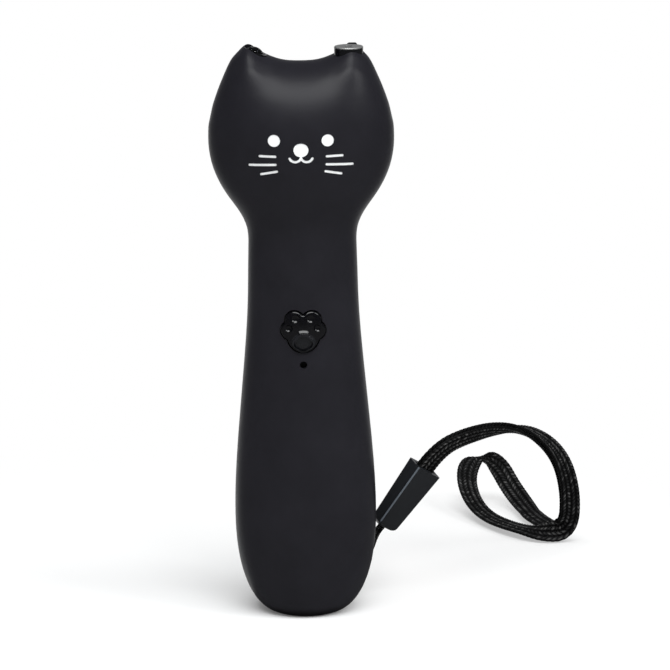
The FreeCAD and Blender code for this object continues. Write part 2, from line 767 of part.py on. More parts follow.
def lamp_parts():
    """Tilted black rim, clear domed lens, and the lamp on its small round board."""
    bore = lamp_radius - lamp_rim_wall
    rim = tube(lamp_at(lamp_length), lamp_at(0), lamp_radius, bore)
    lens_radius = bore - lamp_seat
    lens = cylinder(lamp_at(lamp_sink + lamp_lens_height), lamp_at(lamp_sink), lens_radius)
    ball_radius = (lens_radius ** 2 + lamp_dome ** 2) / (2.0 * lamp_dome)
    ball = Part.makeSphere(ball_radius, lamp_at(lamp_sink - lamp_dome + ball_radius))
    dome = ball.common(cylinder(lamp_at(lamp_sink + 0.2), lamp_at(lamp_sink - 2 * lamp_dome),
                                lens_radius))
    lens = lens.fuse(dome)
    board = cylinder(lamp_at(lamp_length - 1.0), lamp_at(lamp_length - 2.0), lens_radius)
    led = cylinder(lamp_at(lamp_length - 2.0), lamp_at(lamp_length - 3.0), 1.9)
    led = led.fuse(Part.makeSphere(1.4, lamp_at(lamp_length - 3.0)).common(
        cylinder(lamp_at(lamp_length - 2.8), lamp_at(lamp_length - 5.0), 1.5)))
    return {"lamp_rim": rim, "lamp_lens": solid_of(lens), "lamp_board": board,
            "lamp_led": solid_of(led)}


# Boards, battery and charging socket

def main_board():
    board = block(-board_half_width, board_half_width, board_front, BOARD_BACK,
                  board_bottom, BOARD_TOP)
    corners = [edge for edge in board.Edges
               if abs(edge.Vertexes[0].Y - edge.Vertexes[-1].Y) > board_thickness / 2.0]
    board = board.makeFillet(1.0, corners)
    holes = [cylinder(Vector(x, board_front - 1, z), Vector(x, BOARD_BACK + 1, z),
                      board_screw_radius + screw_clearance) for x, z in BOARD_POSTS]
    return solid_of(board.cut(holes))


def board_chips():
    """Controller, charging chip and coil on the back of the board."""
    middle = (board_bottom + BOARD_TOP) / 2.0
    back = BOARD_BACK
    return Part.makeCompound([
        block(-2.5, 2.5, back, back + 1.2, middle + 1.0, middle + 6.0),
        block(-2.0, 2.0, back, back + 1.0, middle - 9.0, middle - 6.0),
        cylinder(Vector(0, back, middle + 12.0), Vector(0, back + 2.4, middle + 12.0), 2.0)])


def cross_head_screw(seat, direction, head_radius, head_height, shank_radius, length):
    """Pan-head screw with a cross recess, its head's underside on the seat."""
    head = cylinder(seat, seat + direction * head_height, head_radius)
    top = [edge for edge in head.Edges
           if edge.isClosed() and (edge.CenterOfMass - seat).dot(direction) > head_height / 2.0]
    head = head.makeFillet(head_height * 0.4, top)
    shank = cylinder(seat, seat - direction * length, shank_radius)
    slot = head_radius * 1.1
    half = head_radius * 0.14
    low = seat.y + direction.y * head_height * 0.45
    high = seat.y + direction.y * (head_height + 1.0)
    y0, y1 = min(low, high), max(low, high)
    cross = [block(seat.x - slot / 2, seat.x + slot / 2, y0, y1, seat.z - half, seat.z + half),
             block(seat.x - half, seat.x + half, y0, y1, seat.z - slot / 2, seat.z + slot / 2)]
    return solid_of(head.cut(cross).fuse(shank))


def board_screws():
    back = Vector(0, 1, 0)
    return Part.makeCompound([cross_head_screw(Vector(x, BOARD_BACK, z), back, 1.4, 0.9,
                                               board_screw_radius, board_thickness + 2.6)
                              for x, z in BOARD_POSTS])


def case_screws():
    back = Vector(0, 1, 0)
    return Part.makeCompound([cross_head_screw(Vector(x, screw_seat(x, z), z), back,
                                               screw_head_radius, screw_head_height, screw_radius,
                                               screw_seat(x, z) + screw_reach)
                              for x, z in CASE_SCREWS])


def battery_cell():
    """Round cell with a raised cap at its top."""
    centre = Vector(0, battery_setback, 0)
    cell = cylinder(centre + Vector(0, 0, battery_bottom), centre + Vector(0, 0, BATTERY_TOP - 0.8),
                    battery_radius)
    ends = [edge for edge in cell.Edges if edge.isClosed()]
    cell = cell.makeFillet(0.6, ends)
    knob = cylinder(centre + Vector(0, 0, BATTERY_TOP - 0.9), centre + Vector(0, 0, BATTERY_TOP), 2.8)
    return solid_of(cell.fuse(knob))


def battery_pad():
    """Foam ring between the cell's cap and the rib above it."""
    centre = Vector(0, battery_setback, 0)
    return cylinder(centre + Vector(0, 0, BATTERY_TOP),
                    centre + Vector(0, 0, BATTERY_TOP + pad_thickness), 2.6)


def charge_board():
    return block(-charge_board_half_width, charge_board_half_width, charge_board_front,
                 charge_board_back, CHARGE_BOARD_TOP - board_thickness, CHARGE_BOARD_TOP)


def socket_parts():
    """Steel shell of the charging socket and the tongue inside it."""
    shell = stadium(socket_half_width, socket_thickness, SOCKET_BACK, SOCKET_FACE)
    shell = shell.cut(stadium(socket_half_width - socket_wall, socket_thickness - 2 * socket_wall,
                              SOCKET_BACK + 0.8, SOCKET_FACE + 1))
    tongue = block(-3.35, 3.35, SOCKET_BACK + 0.8, SOCKET_FACE - 0.7,
                   socket_height - 0.35, socket_height + 0.35)
    return solid_of(shell), tongue


# Cords and wires: straight runs joined by tangent arcs

def bent_path(points, radii):
    """Wire through a route, with the radius given for each inner point."""
    edges = []
    start = points[0]
    for i in range(1, len(points) - 1):
        before = (points[i - 1] - points[i]).normalize()
        after = (points[i + 1] - points[i]).normalize()
        half_open = before.getAngle(after) / 2.0
        reach = radii[i - 1] / math.tan(half_open)
        enter = points[i] + before * reach
        leave = points[i] + after * reach
        centre = points[i] + (before + after).normalize() * (radii[i - 1] / math.sin(half_open))
        middle = centre + (points[i] - centre).normalize() * radii[i - 1]
        edges.append(Part.LineSegment(start, enter).toShape())
        edges.append(arc(enter, middle, leave))
        start = leave
    edges.append(Part.LineSegment(start, points[-1]).toShape())
    return Part.Wire(edges)


def widest_radii(points):
    """The largest arc each corner allows: 0.45 of its shorter run over the tangent of half its turn."""
    radii = []
    for before, corner, after in zip(points, points[1:], points[2:]):
        turn = (corner - before).getAngle(after - corner)
        run = min((corner - before).Length, (after - corner).Length)
        radii.append(0.45 * run / math.tan(turn / 2.0))
    return radii


def swept_tube(path, diameter):
    first = path.Edges[0]
    start = first.valueAt(first.FirstParameter)
    ring_wire = Part.Wire([Part.makeCircle(diameter / 2.0, start, first.tangentAt(first.FirstParameter))])
    return path.makePipeShell([ring_wire], True, False)


def free_cord(name, points, diameter):
    radii = widest_radii(points)
    path = bent_path(points, radii)
    solid = swept_tube(path, diameter)
    print(name, "length %.1f mm, radii" % path.Length, ["%.1f" % radius for radius in radii],
          "volume over section x length %.4f" % (solid.Volume / (math.pi * diameter ** 2 / 4 * path.Length)))
    return solid


def lead(points):
    return swept_tube(bent_path(points, [lead_bend] * (len(points) - 2)), lead_diameter)


def lead_pair(points, across, across_start=None):
    """Two insulated wires side by side. The first two points may be spread another way."""
    start = across_start or across
    spread = [start, start] + [across] * (len(points) - 2)
    return Part.makeCompound([lead([point + step * k for point, step in zip(points, spread)])
                              for k in (-0.5 * lead_spacing, 0.5 * lead_spacing)])


def leads():
    across = Vector(1, 0, 0)
    lamp_across = Vector(LAMP_UP.z, 0, -LAMP_UP.x)
    low = board_bottom
    middle_y = (board_front + BOARD_BACK) / 2.0
    laser_foot = laser_top - laser_cap_height - 1.3 - laser_barrel_length - laser_board_length
    laser = [Vector(laser_offset, laser_setback, laser_foot),
             Vector(laser_offset, laser_setback, laser_foot - 5.0),
             Vector(4.2, middle_y, BOARD_TOP + 5.0), Vector(4.2, middle_y, BOARD_TOP)]
    end = lamp_at(lamp_length - 1.0)
    knee = BOARD_TOP + 0.53 * (end.z - BOARD_TOP)
    lamp = [end, lamp_at(lamp_length + 4.0), Vector(-11.8, lamp_setback, knee),
            Vector(-4.2, middle_y, BOARD_TOP + 5.0), Vector(-4.2, middle_y, BOARD_TOP)]
    cell = [Vector(4.0, 0.8, BATTERY_TOP - 0.8), Vector(4.0, 0.8, low + 7.0),
            Vector(4.0, BOARD_BACK, low + 7.0)]
    side = -(battery_radius + 1.25)
    charge = [Vector(-5.6, -0.45, CHARGE_BOARD_TOP), Vector(-5.6, -0.45, CHARGE_BOARD_TOP + 2.6),
              Vector(side, -0.45, battery_bottom + 3.0), Vector(side, -0.45, low + 3.0),
              Vector(-6.4, 1.6, low + 11.0), Vector(-6.4, BOARD_BACK, low + 11.0)]
    return {"laser_leads": lead_pair(laser, across),
            "lamp_leads": lead_pair(lamp, across, lamp_across),
            "battery_leads": lead_pair(cell, across), "charge_leads": lead_pair(charge, across)}


# Lanyard clip, cord and band

def clip_frame():
    """Tail end of the clip, then its long, wide and thick directions."""
    lean, yaw = math.radians(clip_lean), math.radians(clip_yaw)
    along = Vector(math.sin(lean), 0, math.cos(lean))
    sideways = Vector(math.cos(lean), 0, -math.sin(lean))
    rear = Vector(0, 1, 0)
    wide = sideways * math.cos(yaw) + rear * math.sin(yaw)
    thick = rear * math.cos(yaw) - sideways * math.sin(yaw)
    return Vector(*clip_bottom), along, wide, thick


def rounded_rectangle(centre, wide, thick, half_wide, half_thick, radius):
    edges = []
    corner = radius * (1.0 - math.sqrt(0.5))
    for turn in range(4):
        across = (wide, thick, wide * -1, thick * -1)[turn]
        up = (thick, wide * -1, thick * -1, wide)[turn]
        reach = (half_wide, half_thick)[turn % 2]
        rise = (half_thick, half_wide)[turn % 2]
        p = centre + across * reach - up * (rise - radius)
        q = centre + across * reach + up * (rise - radius)
        middle = centre + across * (reach - corner) + up * (rise - corner)
        r = centre + across * (reach - radius) + up * rise
        edges.append(Part.LineSegment(p, q).toShape())
        edges.append(arc(q, middle, r))
    return Part.Wire(edges)


def strap_clip():
    """Tapered clip: the band goes into its wide mouth, the thin cord into two holes at its tail."""
    base, along, wide, thick = clip_frame()
    top = base + along * clip_length
    sections = []
    for share in (0.0, 0.05, 0.16, 0.34, 0.62, 1.0, clip_length / clip_tail_round):
        rise = clip_tail_round * share
        inset = clip_tail_round * (1.0 - math.sqrt(1.0 - max(0.0, 1.0 - share) ** 2))
        grow = rise / clip_length
        half_wide = (clip_tail_width + (clip_mouth_width - clip_tail_width) * grow) / 2 - inset
        half_thick = (clip_tail_depth + (clip_mouth_depth - clip_tail_depth) * grow) / 2 - inset
        sections.append(rounded_rectangle(base + along * rise, wide, thick, half_wide, half_thick,
                                          min(clip_edge_radius, 0.4 * half_thick)))
    body = Part.makeLoft(sections, True, True)
    slot = rounded_rectangle(top - along * clip_slot_depth, wide, thick, band_width / 2 + 0.2,
                             band_thickness + 0.2, 0.4)
    cutters = [Part.Face(slot).extrude(along * (clip_slot_depth + 1.0))]
    for side in SIDES:
        place = base + wide * (side * strand_spacing / 2.0)
        cutters.append(cylinder(place - along, place + along * clip_hole_depth,
                                cord_diameter / 2 + 0.1))
    return solid_of(body.cut(cutters))


def strap_cord():
    """Thin cord from the clip, through the eyelet and back to the clip."""
    base, along, wide, thick = clip_frame()
    centre, out, rise, across = eyelet_frame()
    upper = centre + rise * eyelet_turn_radius
    lower = centre - rise * eyelet_turn_radius
    right = base + wide * (strand_spacing / 2.0)
    left = base - wide * (strand_spacing / 2.0)
    deep = out * eyelet_turn_radius
    points = [right + along * clip_hole_depth, right - along * 2.5, upper + out * 4.2,
              upper - deep, lower - deep, lower + out * 5.2, left - along * 2.5,
              left + along * clip_hole_depth]
    return free_cord("strap_cord", points, cord_diameter)


def wrist_band():
    """The woven band as one tube of its route: out of the clip, over the arch, round the loop."""
    base, along, wide, thick = clip_frame()
    mouth = base + along * clip_length
    points = [mouth, mouth + along * band_lead_in]
    points += [Vector(*point) for point in BAND_ARCH + BAND_LOOP]
    return free_cord("wrist_band", points, band_tube_diameter)


# Parts and their files

def build():
    parts["front_shell"] = front_shell()
    parts["rear_shell"] = rear_shell()
    parts["face_inlay"] = engraving(face_fill_sink, face_cut_depth)
    parts["paw_button"] = paw_button()
    parts["switch_plunger"] = switch_plunger()
    parts["switch_body"] = switch_body()
    parts["indicator_light_pipe"], parts["indicator_led"] = indicator()
    parts.update(laser_parts())
    parts.update(lamp_parts())
    parts["main_board"] = main_board()
    parts["board_chips"] = board_chips()
    parts["board_screws"] = board_screws()
    parts["case_screws"] = case_screws()
    parts["battery_cell"] = battery_cell()
    parts["battery_pad"] = battery_pad()
    parts["charge_board"] = charge_board()
    parts["socket_shell"], parts["socket_tongue"] = socket_parts()
    parts.update(leads())
    parts["strap_clip"] = strap_clip()
    parts["strap_cord"] = strap_cord()
    parts["wrist_band"] = wrist_band()


build()
os.makedirs("parts", exist_ok=True)
for name, shape in parts.items():
    shape.exportStep("parts/%s.step" % name)
    print("%-22s %2d solid(s)  %9.2f mm3" % (name, len(shape.Solids), shape.Volume))
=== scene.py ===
# %% [markdown]
# # A cat-shaped laser pointer, dressed for its picture
#
# The solids of the toy are already built to size. This script loads them as a fixed frame, puts the
# camera, the lamps and the floor round them, makes the woven wrist band and its thin cord as meshes
# along their routes, and gives each piece a finish of its own. Everything is in metres, with +Z up and
# the face looking along -Y.

# %% Load the solids
import math

import bpy
from mathutils import Matrix, Vector


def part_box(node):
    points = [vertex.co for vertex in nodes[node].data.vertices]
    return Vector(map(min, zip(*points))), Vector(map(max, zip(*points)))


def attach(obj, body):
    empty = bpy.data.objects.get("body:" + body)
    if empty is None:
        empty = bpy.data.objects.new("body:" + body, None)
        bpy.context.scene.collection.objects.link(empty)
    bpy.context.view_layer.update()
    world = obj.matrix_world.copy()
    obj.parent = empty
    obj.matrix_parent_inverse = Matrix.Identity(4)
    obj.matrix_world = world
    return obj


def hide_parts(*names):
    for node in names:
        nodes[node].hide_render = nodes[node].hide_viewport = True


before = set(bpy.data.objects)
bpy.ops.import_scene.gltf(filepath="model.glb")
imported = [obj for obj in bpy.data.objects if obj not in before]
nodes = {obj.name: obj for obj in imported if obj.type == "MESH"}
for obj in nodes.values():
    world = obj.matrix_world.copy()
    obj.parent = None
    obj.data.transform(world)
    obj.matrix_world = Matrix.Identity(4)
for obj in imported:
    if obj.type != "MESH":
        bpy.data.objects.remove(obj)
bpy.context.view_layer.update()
MM = 0.001
MICRON = 0.000001

# %% [markdown]
# ## The camera
#
# The picture was taken from a little above and from far away, so the toy hardly narrows with
# distance. A long lens at 1.23 m gives that look. The camera is placed by three directions: the way
# it looks, its right-hand side, and its top, with a very small roll.

# %% Camera
camera_place = Vector((8.165, -1200.0, 341.0)) * MM
camera_aim = Vector((8.165, 0.0, 73.25)) * MM
camera_roll = math.radians(-0.62)

looking = (camera_aim - camera_place).normalized()
level = looking.cross(Vector((0, 0, 1))).normalized()
upright = level.cross(looking)
right = level * math.cos(camera_roll) + upright * math.sin(camera_roll)
top = upright * math.cos(camera_roll) - level * math.sin(camera_roll)

bpy.ops.object.select_all(action="DESELECT")
bpy.ops.object.camera_add()
camera = bpy.context.object
camera.name = "camera"
turn = Matrix((right, top, -looking)).transposed()
camera.matrix_world = Matrix.Translation(camera_place) @ turn.to_4x4()
camera.data.sensor_width = 36.0
camera.data.lens = 254.06
camera.data.clip_start = 0.05
camera.data.clip_end = 50.0
bpy.context.scene.camera = camera
print("camera distance: %.3f m" % (camera_aim - camera_place).length)

# %% [markdown]
# ## The routes of the band and the thin cord
#
# A cord is a curve with a real length. The band leaves the clip, goes over in an arch, comes down to
# the floor, and makes an open loop there. The thin cord leaves the clip at its other end, goes behind
# the body, through the eyelet, and back. Each route is a smooth curve whose control points, given in
# millimetres, pull it towards them. Order 3 makes it pass near each one, and the end points are held.

# %% A smooth line through the air from a few control points
def line_points(name, points):
    """The points along a NURBS curve with these control points, given in millimetres."""
    curve = bpy.data.curves.new(name, "CURVE")
    curve.dimensions = "3D"
    curve.resolution_u = 24
    spline = curve.splines.new("NURBS")
    spline.points.add(len(points) - 1)
    for place, point in zip(spline.points, points):
        place.co = (point[0] * MM, point[1] * MM, point[2] * MM, 1.0)
    spline.order_u = 3
    spline.use_endpoint_u = True
    holder = bpy.data.objects.new(name, curve)
    bpy.context.scene.collection.objects.link(holder)
    bpy.context.view_layer.update()
    mesh = bpy.data.meshes.new_from_object(holder)
    line = [vertex.co.copy() for vertex in mesh.vertices]
    bpy.data.objects.remove(holder)
    bpy.data.meshes.remove(mesh)
    return line


def run_lengths(line):
    """How far along the line each of its points is."""
    total = [0.0]
    for here, there in zip(line, line[1:]):
        total.append(total[-1] + (there - here).length)
    return total


band_route = [(31.6, 13.0, 34.12), (35.13, 13.0, 38.98), (42.5, 17.5, 41.6), (52.5, 28.0, 41.2),
              (62.0, 40.5, 36.4), (69.3, 51.0, 27.3), (72.5, 59.0, 15.0), (72.0, 62.4, 3.6),
              (64.5, 62.8, 2.6), (56.2, 71.8, 2.2), (50.0, 83.0, 2.2), (46.3, 93.5, 4.2),
              (44.8, 101.5, 8.5), (46.4, 107.3, 12.2), (51.0, 110.3, 12.9), (54.6, 108.1, 10.3),
              (57.5, 103.0, 5.7), (60.9, 94.0, 2.7), (63.8, 80.0, 1.95), (68.6, 69.6, 2.1)]
cord_route = [(22.56, 13.43, 20.42), (21.22, 13.20, 18.92), (18.70, 13.05, 16.12),
              (16.95, 9.35, 11.60), (12.60, 6.14, 13.22), (11.16, 5.62, 8.25),
              (16.40, 9.45, 6.33), (17.80, 12.65, 16.71), (20.30, 12.80, 19.50),
              (21.37, 12.58, 21.29)]
band_line = line_points("band_route", band_route)
cord_line = line_points("cord_route", cord_route)
print("band route %.1f mm, cord route %.1f mm" % (run_lengths(band_line)[-1] / MM,
                                                  run_lengths(cord_line)[-1] / MM))

# %% [markdown]
# ## How the band turns about its own line
#
# A flat band is more than a line: it has a width, and the width turns as the band twists. Each pair
# below says how far along the route a place is, in millimetres, and the angle of one edge there: 0
# puts that edge on the outside of the curve, 90 turns it to the viewer, 180 to the inside.

# %% Twist of the band
band_twist = [(0, 47), (6, 52), (10, 54), (20, 58), (30, 72), (36, 89), (45, 113), (55, 130),
              (65, 142), (75, 150), (84, 152), (88, 168), (92, 210), (96, 240), (100, 248),
              (108, 246), (115, 240), (125, 224), (135, 204), (140, 190), (144, 162), (147, 112),
              (150, 56), (154, 16), (160, -2), (170, -16), (180, -36), (188, -52), (205, -60)]
smoothing_shifts = range(-3, 4)


def value_along(table, place):
    """Value between the pairs of a table, smoothed over a few millimetres."""
    total = 0.0
    for shift in smoothing_shifts:
        at = min(max(place + shift, table[0][0]), table[-1][0])
        for (low, first), (high, second) in zip(table, table[1:]):
            if at <= high:
                total += first + (second - first) * (at - low) / (high - low)
                break
    return total / len(smoothing_shifts)


print("angle of the edge in the clip: %.0f degrees" % value_along(band_twist, 0.0))

# %% Stations along the band's route
to_viewer = Vector((0.0, -0.976, 0.218))
route_step = 0.195 * MM


def resampled(line, step):
    """Points at even steps along a line."""
    lengths = run_lengths(line)
    count = max(2, int(round(lengths[-1] / step)) + 1)
    points = []
    index = 0
    for number in range(count):
        place = lengths[-1] * number / (count - 1)
        while index < len(line) - 2 and lengths[index + 1] < place:
            index += 1
        share = (place - lengths[index]) / max(lengths[index + 1] - lengths[index], 1e-9)
        points.append(line[index].lerp(line[index + 1], share))
    return points


def directions(points):
    """Which way the line goes at each of its points."""
    result = []
    for number in range(len(points)):
        before = points[max(number - 1, 0)]
        after = points[min(number + 1, len(points) - 1)]
        result.append((after - before).normalized())
    return result


route = resampled(band_line, route_step)
route_directions = directions(route)
route_edges = []
for number, direction in enumerate(route_directions):
    angle = math.radians(value_along(band_twist, number * route_step / MM))
    outward = to_viewer.cross(direction).normalized()
    forward = direction.cross(outward)
    route_edges.append(outward * math.cos(angle) + forward * math.sin(angle))
print("stations along the band:", len(route))

# %% [markdown]
# ## The strap as one long strip
#
# The real band is one strip of webbing. It comes out of the clip, runs over the arch, makes the
# loop and comes back along its first half, so the arch is two layers thick. The strip's own middle
# line is the route, moved by half a layer to one side on the way out and to the other on the way
# back. Where the loop meets the arch again, a short smooth bridge joins the two. A band that leans
# has one edge low, so a station whose edge would dip into the floor is lifted onto it, and its
# neighbours with it, smoothly. A station is a place, the strip's direction and its edge's direction.

# %% Keeping the strip off the floor
band_half_width = 3.0 * MM
layer_thickness = 1.0 * MM
edge_bulge = 0.15 * MM
floor_clearance = 0.02 * MM
lift_spread = 5.0 * MM


def face_of(direction, edge):
    """The way the strip's flat face looks."""
    return direction.cross(edge).normalized()


def lowest_of(station):
    """Lowest height of one layer of the strip at a station."""
    place, way, edge = station
    by_edge = abs(edge.z) * (band_half_width + edge_bulge)
    by_face = abs(face_of(way, edge).z) * layer_thickness / 2.0
    return place.z - (by_edge + by_face)


def lifted(stations):
    """The same stations, raised where the strip would dip into the floor."""
    dips = [max(0.0, floor_clearance - lowest_of(station)) for station in stations]
    spread = int(lift_spread / route_step)
    result = []
    for number, (place, way, edge) in enumerate(stations):
        near = range(max(0, number - spread), min(len(stations), number + spread + 1))
        lift = max(dips[other] * (1.0 - (abs(other - number) / (spread + 1)) ** 2)
                   for other in near)
        result.append((place + Vector((0.0, 0.0, lift)), way, edge))
    print("largest lift off the floor: %.2f mm" % (max(dips) / MM))
    return result


print("strip: %.1f mm wide, %.1f mm thick" % (2 * band_half_width / MM, layer_thickness / MM))

# %% The two layers of the arch
layer_gap = 0.03 * MM
arch_reach = 86.0 * MM
arch_end = int(arch_reach / route_step)
mouth_depth = 3.4 * MM


def stations_of_arch(side):
    """Stations from inside the clip to the foot of the arch, for one of its two layers."""
    stations = []
    start = route[0] - route_directions[0] * mouth_depth
    inside = int(mouth_depth / route_step)
    for number in range(inside):
        stations.append((start.lerp(route[0], number / inside), route_directions[0], route_edges[0]))
    for number in range(arch_end + 1):
        stations.append((route[number], route_directions[number], route_edges[number]))
    shift = side * (layer_thickness + layer_gap) / 2.0
    return [(place + face_of(way, edge) * shift, way, edge) for place, way, edge in stations]


layer_out = stations_of_arch(-1)
layer_back = [(place, -way, edge) for place, way, edge in reversed(stations_of_arch(1))]
print("stations in each layer:", len(layer_out))

# %% The loop, and the strip as a whole
settle_reach = 8.0 * MM
bridge_steps = 40
bridge_pull = 1.1


def bridge(first, second):
    """Stations on a smooth curve between two stations."""
    first_place, first_way, first_edge = first
    second_place, second_way, second_edge = second
    reach = (second_place - first_place).length * bridge_pull
    stations = []
    for number in range(1, bridge_steps):
        t = number / bridge_steps
        a = first_place * (2 * t ** 3 - 3 * t ** 2 + 1) + first_way * reach * (t ** 3 - 2 * t ** 2 + t)
        b = second_place * (3 * t ** 2 - 2 * t ** 3) + second_way * reach * (t ** 3 - t ** 2)
        stations.append((a + b, first_way.lerp(second_way, t).normalized(),
                         first_edge.lerp(second_edge, t).normalized()))
    return stations


loop_stations = [layer_out[-1]]
settle = int(settle_reach / route_step)
for number in range(arch_end + 1, len(route)):
    share = max(0.0, 1.0 - (number - arch_end) / settle)
    shift = -(layer_thickness + layer_gap) / 2.0 * share
    way, edge = route_directions[number], route_edges[number]
    loop_stations.append((route[number] + face_of(way, edge) * shift, way, edge))
loop_stations += bridge(loop_stations[-1], layer_back[0])
whole = lifted(layer_out + loop_stations[1:] + layer_back)
loop_first = len(layer_out) - 1
loop_last = loop_first + len(loop_stations)
layer_out = whole[:loop_first + 1]
loop_stations = whole[loop_first:loop_last + 1]
layer_back = whole[loop_last:]
print("stations: out %d, loop %d, back %d" % (len(layer_out), len(loop_stations), len(layer_back)))

# %% [markdown]
# ## The woven strip's shape
#
# Seen end on, the webbing is a flat oval with rounded selvedges, and that outline is carried from
# station to station. Webbing of this kind is knitted in rows of small Vs: each row is two half
# columns of slanted stitches that meet in a middle line, and a deeper groove parts it from the next
# row. The stitches are real shape here, not only a bump, because they break up the band's edge and
# catch the light one by one. The UV map is laid out in millimetres, across and along, so that the
# material can find the same stitches.

# %% The stitches
half_column = 1.5 * MM
stitch_length = 1.2 * MM
stitch_slant = 0.9
stitch_rise = 0.26 * MM
fall_across = 3.2
fall_along = 3.6
groove_start = 0.75
groove_depth = 0.7


def stitch_height(across, along):
    """Height of the weave at a place on the band, from 0 in its gaps to 1 on a crown."""
    in_row = (across / (2.0 * half_column) + 0.5) % 1.0 - 0.5
    half = abs(in_row) * 2.0
    in_stitch = (along / stitch_length + half * stitch_slant) % 1.0 - 0.5
    over_width = 1.0 - fall_across * (half - 0.5) ** 2
    over_length = 1.0 - fall_along * in_stitch ** 2
    groove = 1.0 - groove_depth * max(0.0, (half - groove_start) / (1.0 - groove_start)) ** 2
    return over_width * over_length * groove


print("a stitch: %.1f x %.1f mm, %.2f mm high" % (half_column / MM, stitch_length / MM,
                                                  stitch_rise / MM))

# %% The strip's section
across_steps = 40
selvedge_start = 0.86


def strip_outline():
    """Points round the strip's section: across, up, and the face it is on, with 0 for an edge."""
    outline = []
    for side in (1, -1):
        for number in range(1, across_steps):
            across = side * band_half_width * (1.0 - 2.0 * number / across_steps)
            edge_share = abs(across) / band_half_width
            into_edge = max(0.0, (edge_share - selvedge_start) / (1.0 - selvedge_start))
            rounding = math.sqrt(max(0.0, 1.0 - into_edge ** 2))
            outline.append((across, side * (layer_thickness / 2.0 - stitch_rise) * rounding, side))
        outline.append((-side * (band_half_width - 0.5 * stitch_rise), 0.0, 0.0))
    return outline


print("points round the section:", len(strip_outline()))

# %% Sweeping a section into a mesh
def swept_faces(base, sides, rows):
    """Faces and UV corners between the rings of a swept mesh, with a cap at each end.

    sides holds where each side of a ring starts and ends in the map, rows where each ring is."""
    ring = len(sides)
    faces, uvs = [], []
    for number in range(len(rows) - 1):
        low = base + number * ring
        high = low + ring
        for point, (u1, u2) in enumerate(sides):
            following = (point + 1) % ring
            faces.append((low + point, low + following, high + following, high + point))
            v1, v2 = rows[number], rows[number + 1]
            uvs.append(((u1, v1), (u2, v1), (u2, v2), (u1, v2)))
    last = base + (len(rows) - 1) * ring
    faces.append(tuple(base + point for point in reversed(range(ring))))
    faces.append(tuple(last + point for point in range(ring)))
    uvs += [((0.0, rows[0]),) * ring, ((0.0, rows[-1]),) * ring]
    return faces, uvs


def mesh_piece(name, vertices, faces, uvs):
    """A new piece with a UV map named weave."""
    mesh = bpy.data.meshes.new(name)
    mesh.from_pydata(vertices, [], faces)
    layer = mesh.uv_layers.new(name="weave")
    for polygon, corners in zip(mesh.polygons, uvs):
        for loop, corner in zip(polygon.loop_indices, corners):
            layer.data[loop].uv = corner
    mesh.update()
    piece = bpy.data.objects.new(name, mesh)
    bpy.context.scene.collection.objects.link(piece)
    return piece


print("faces of the shortest tube with three sides:", len(swept_faces(0, [(0, 1)] * 3, [0, 1])[0]))

# %% The arch and the loop as meshes
soft_crease = math.radians(50)


def strip_mesh(name, runs):
    """One mesh of several strips. Each run is its stations, and how far along it starts."""
    outline = strip_outline()
    ring = len(outline)
    sides = [(outline[point][0] / MM, outline[(point + 1) % ring][0] / MM) for point in range(ring)]
    vertices, faces, uvs = [], [], []
    for stations, start in runs:
        base = len(vertices)
        along = start
        rows = []
        for number, (place, way, edge) in enumerate(stations):
            if number:
                along += (place - stations[number - 1][0]).length
            rows.append(along / MM)
            face = face_of(way, edge)
            for across, up, side in outline:
                rise = stitch_rise * stitch_height(across, along)
                bulge = 0.0 if side else math.copysign(rise, across)
                vertices.append(place + edge * (across + bulge) + face * (up + side * rise))
        run_faces, run_uvs = swept_faces(base, sides, rows)
        faces += run_faces
        uvs += run_uvs
    return mesh_piece(name, vertices, faces, uvs)


def finish_soft(piece):
    """Turns the faces outwards and smooths the shading."""
    bpy.ops.object.select_all(action="DESELECT")
    bpy.context.view_layer.objects.active = piece
    piece.select_set(True)
    bpy.ops.object.mode_set(mode="EDIT")
    bpy.ops.mesh.select_all(action="SELECT")
    bpy.ops.mesh.normals_make_consistent(inside=False)
    bpy.ops.object.mode_set(mode="OBJECT")
    bpy.ops.object.shade_smooth_by_angle(angle=soft_crease)
    piece.select_set(False)


arch_length = run_lengths([station[0] for station in layer_out])[-1]
loop_length = run_lengths([station[0] for station in loop_stations])[-1]
band_arch = strip_mesh("wrist_band_arch", [(layer_out, 0.0), (layer_back, arch_length + loop_length)])
band_loop = strip_mesh("wrist_band_loop", [(loop_stations, arch_length)])
finish_soft(band_arch)
finish_soft(band_loop)
print("webbing in all: %.0f mm" % ((2 * arch_length + loop_length) / MM))

for piece, path in ((band_arch, route[:arch_end + 1]), (band_loop, route[arch_end:])):
    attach(piece, "housing")
    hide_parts("wrist_band")
    print(piece.name, "%.1f mm" % (run_lengths(path)[-1] / MM))

# %% [markdown]
# ## The thin cord
#
# The cord is a 1 mm round braid that goes from the clip through the eyelet and back. A braid is a
# tube with a low pattern of crossing strands, so its shape here is a round tube along the route,
# slightly lumpy, and the strands themselves are in its material.

# %% Thin cord
cord_radius = 0.5 * MM
cord_sides = 16
side_in_map = 0.2
braid_step = 0.12
lumps_round = 4
lumps_along = 5.2
lump_share = 0.035


def round_frames(line):
    """Two directions across the line at each point, that don't spin from one to the next."""
    ways = directions(line)
    side = ways[0].cross(Vector((0, 1, 0))).normalized()
    frames = []
    for way in ways:
        side = (side - way * side.dot(way)).normalized()
        frames.append((side, way.cross(side)))
    return frames


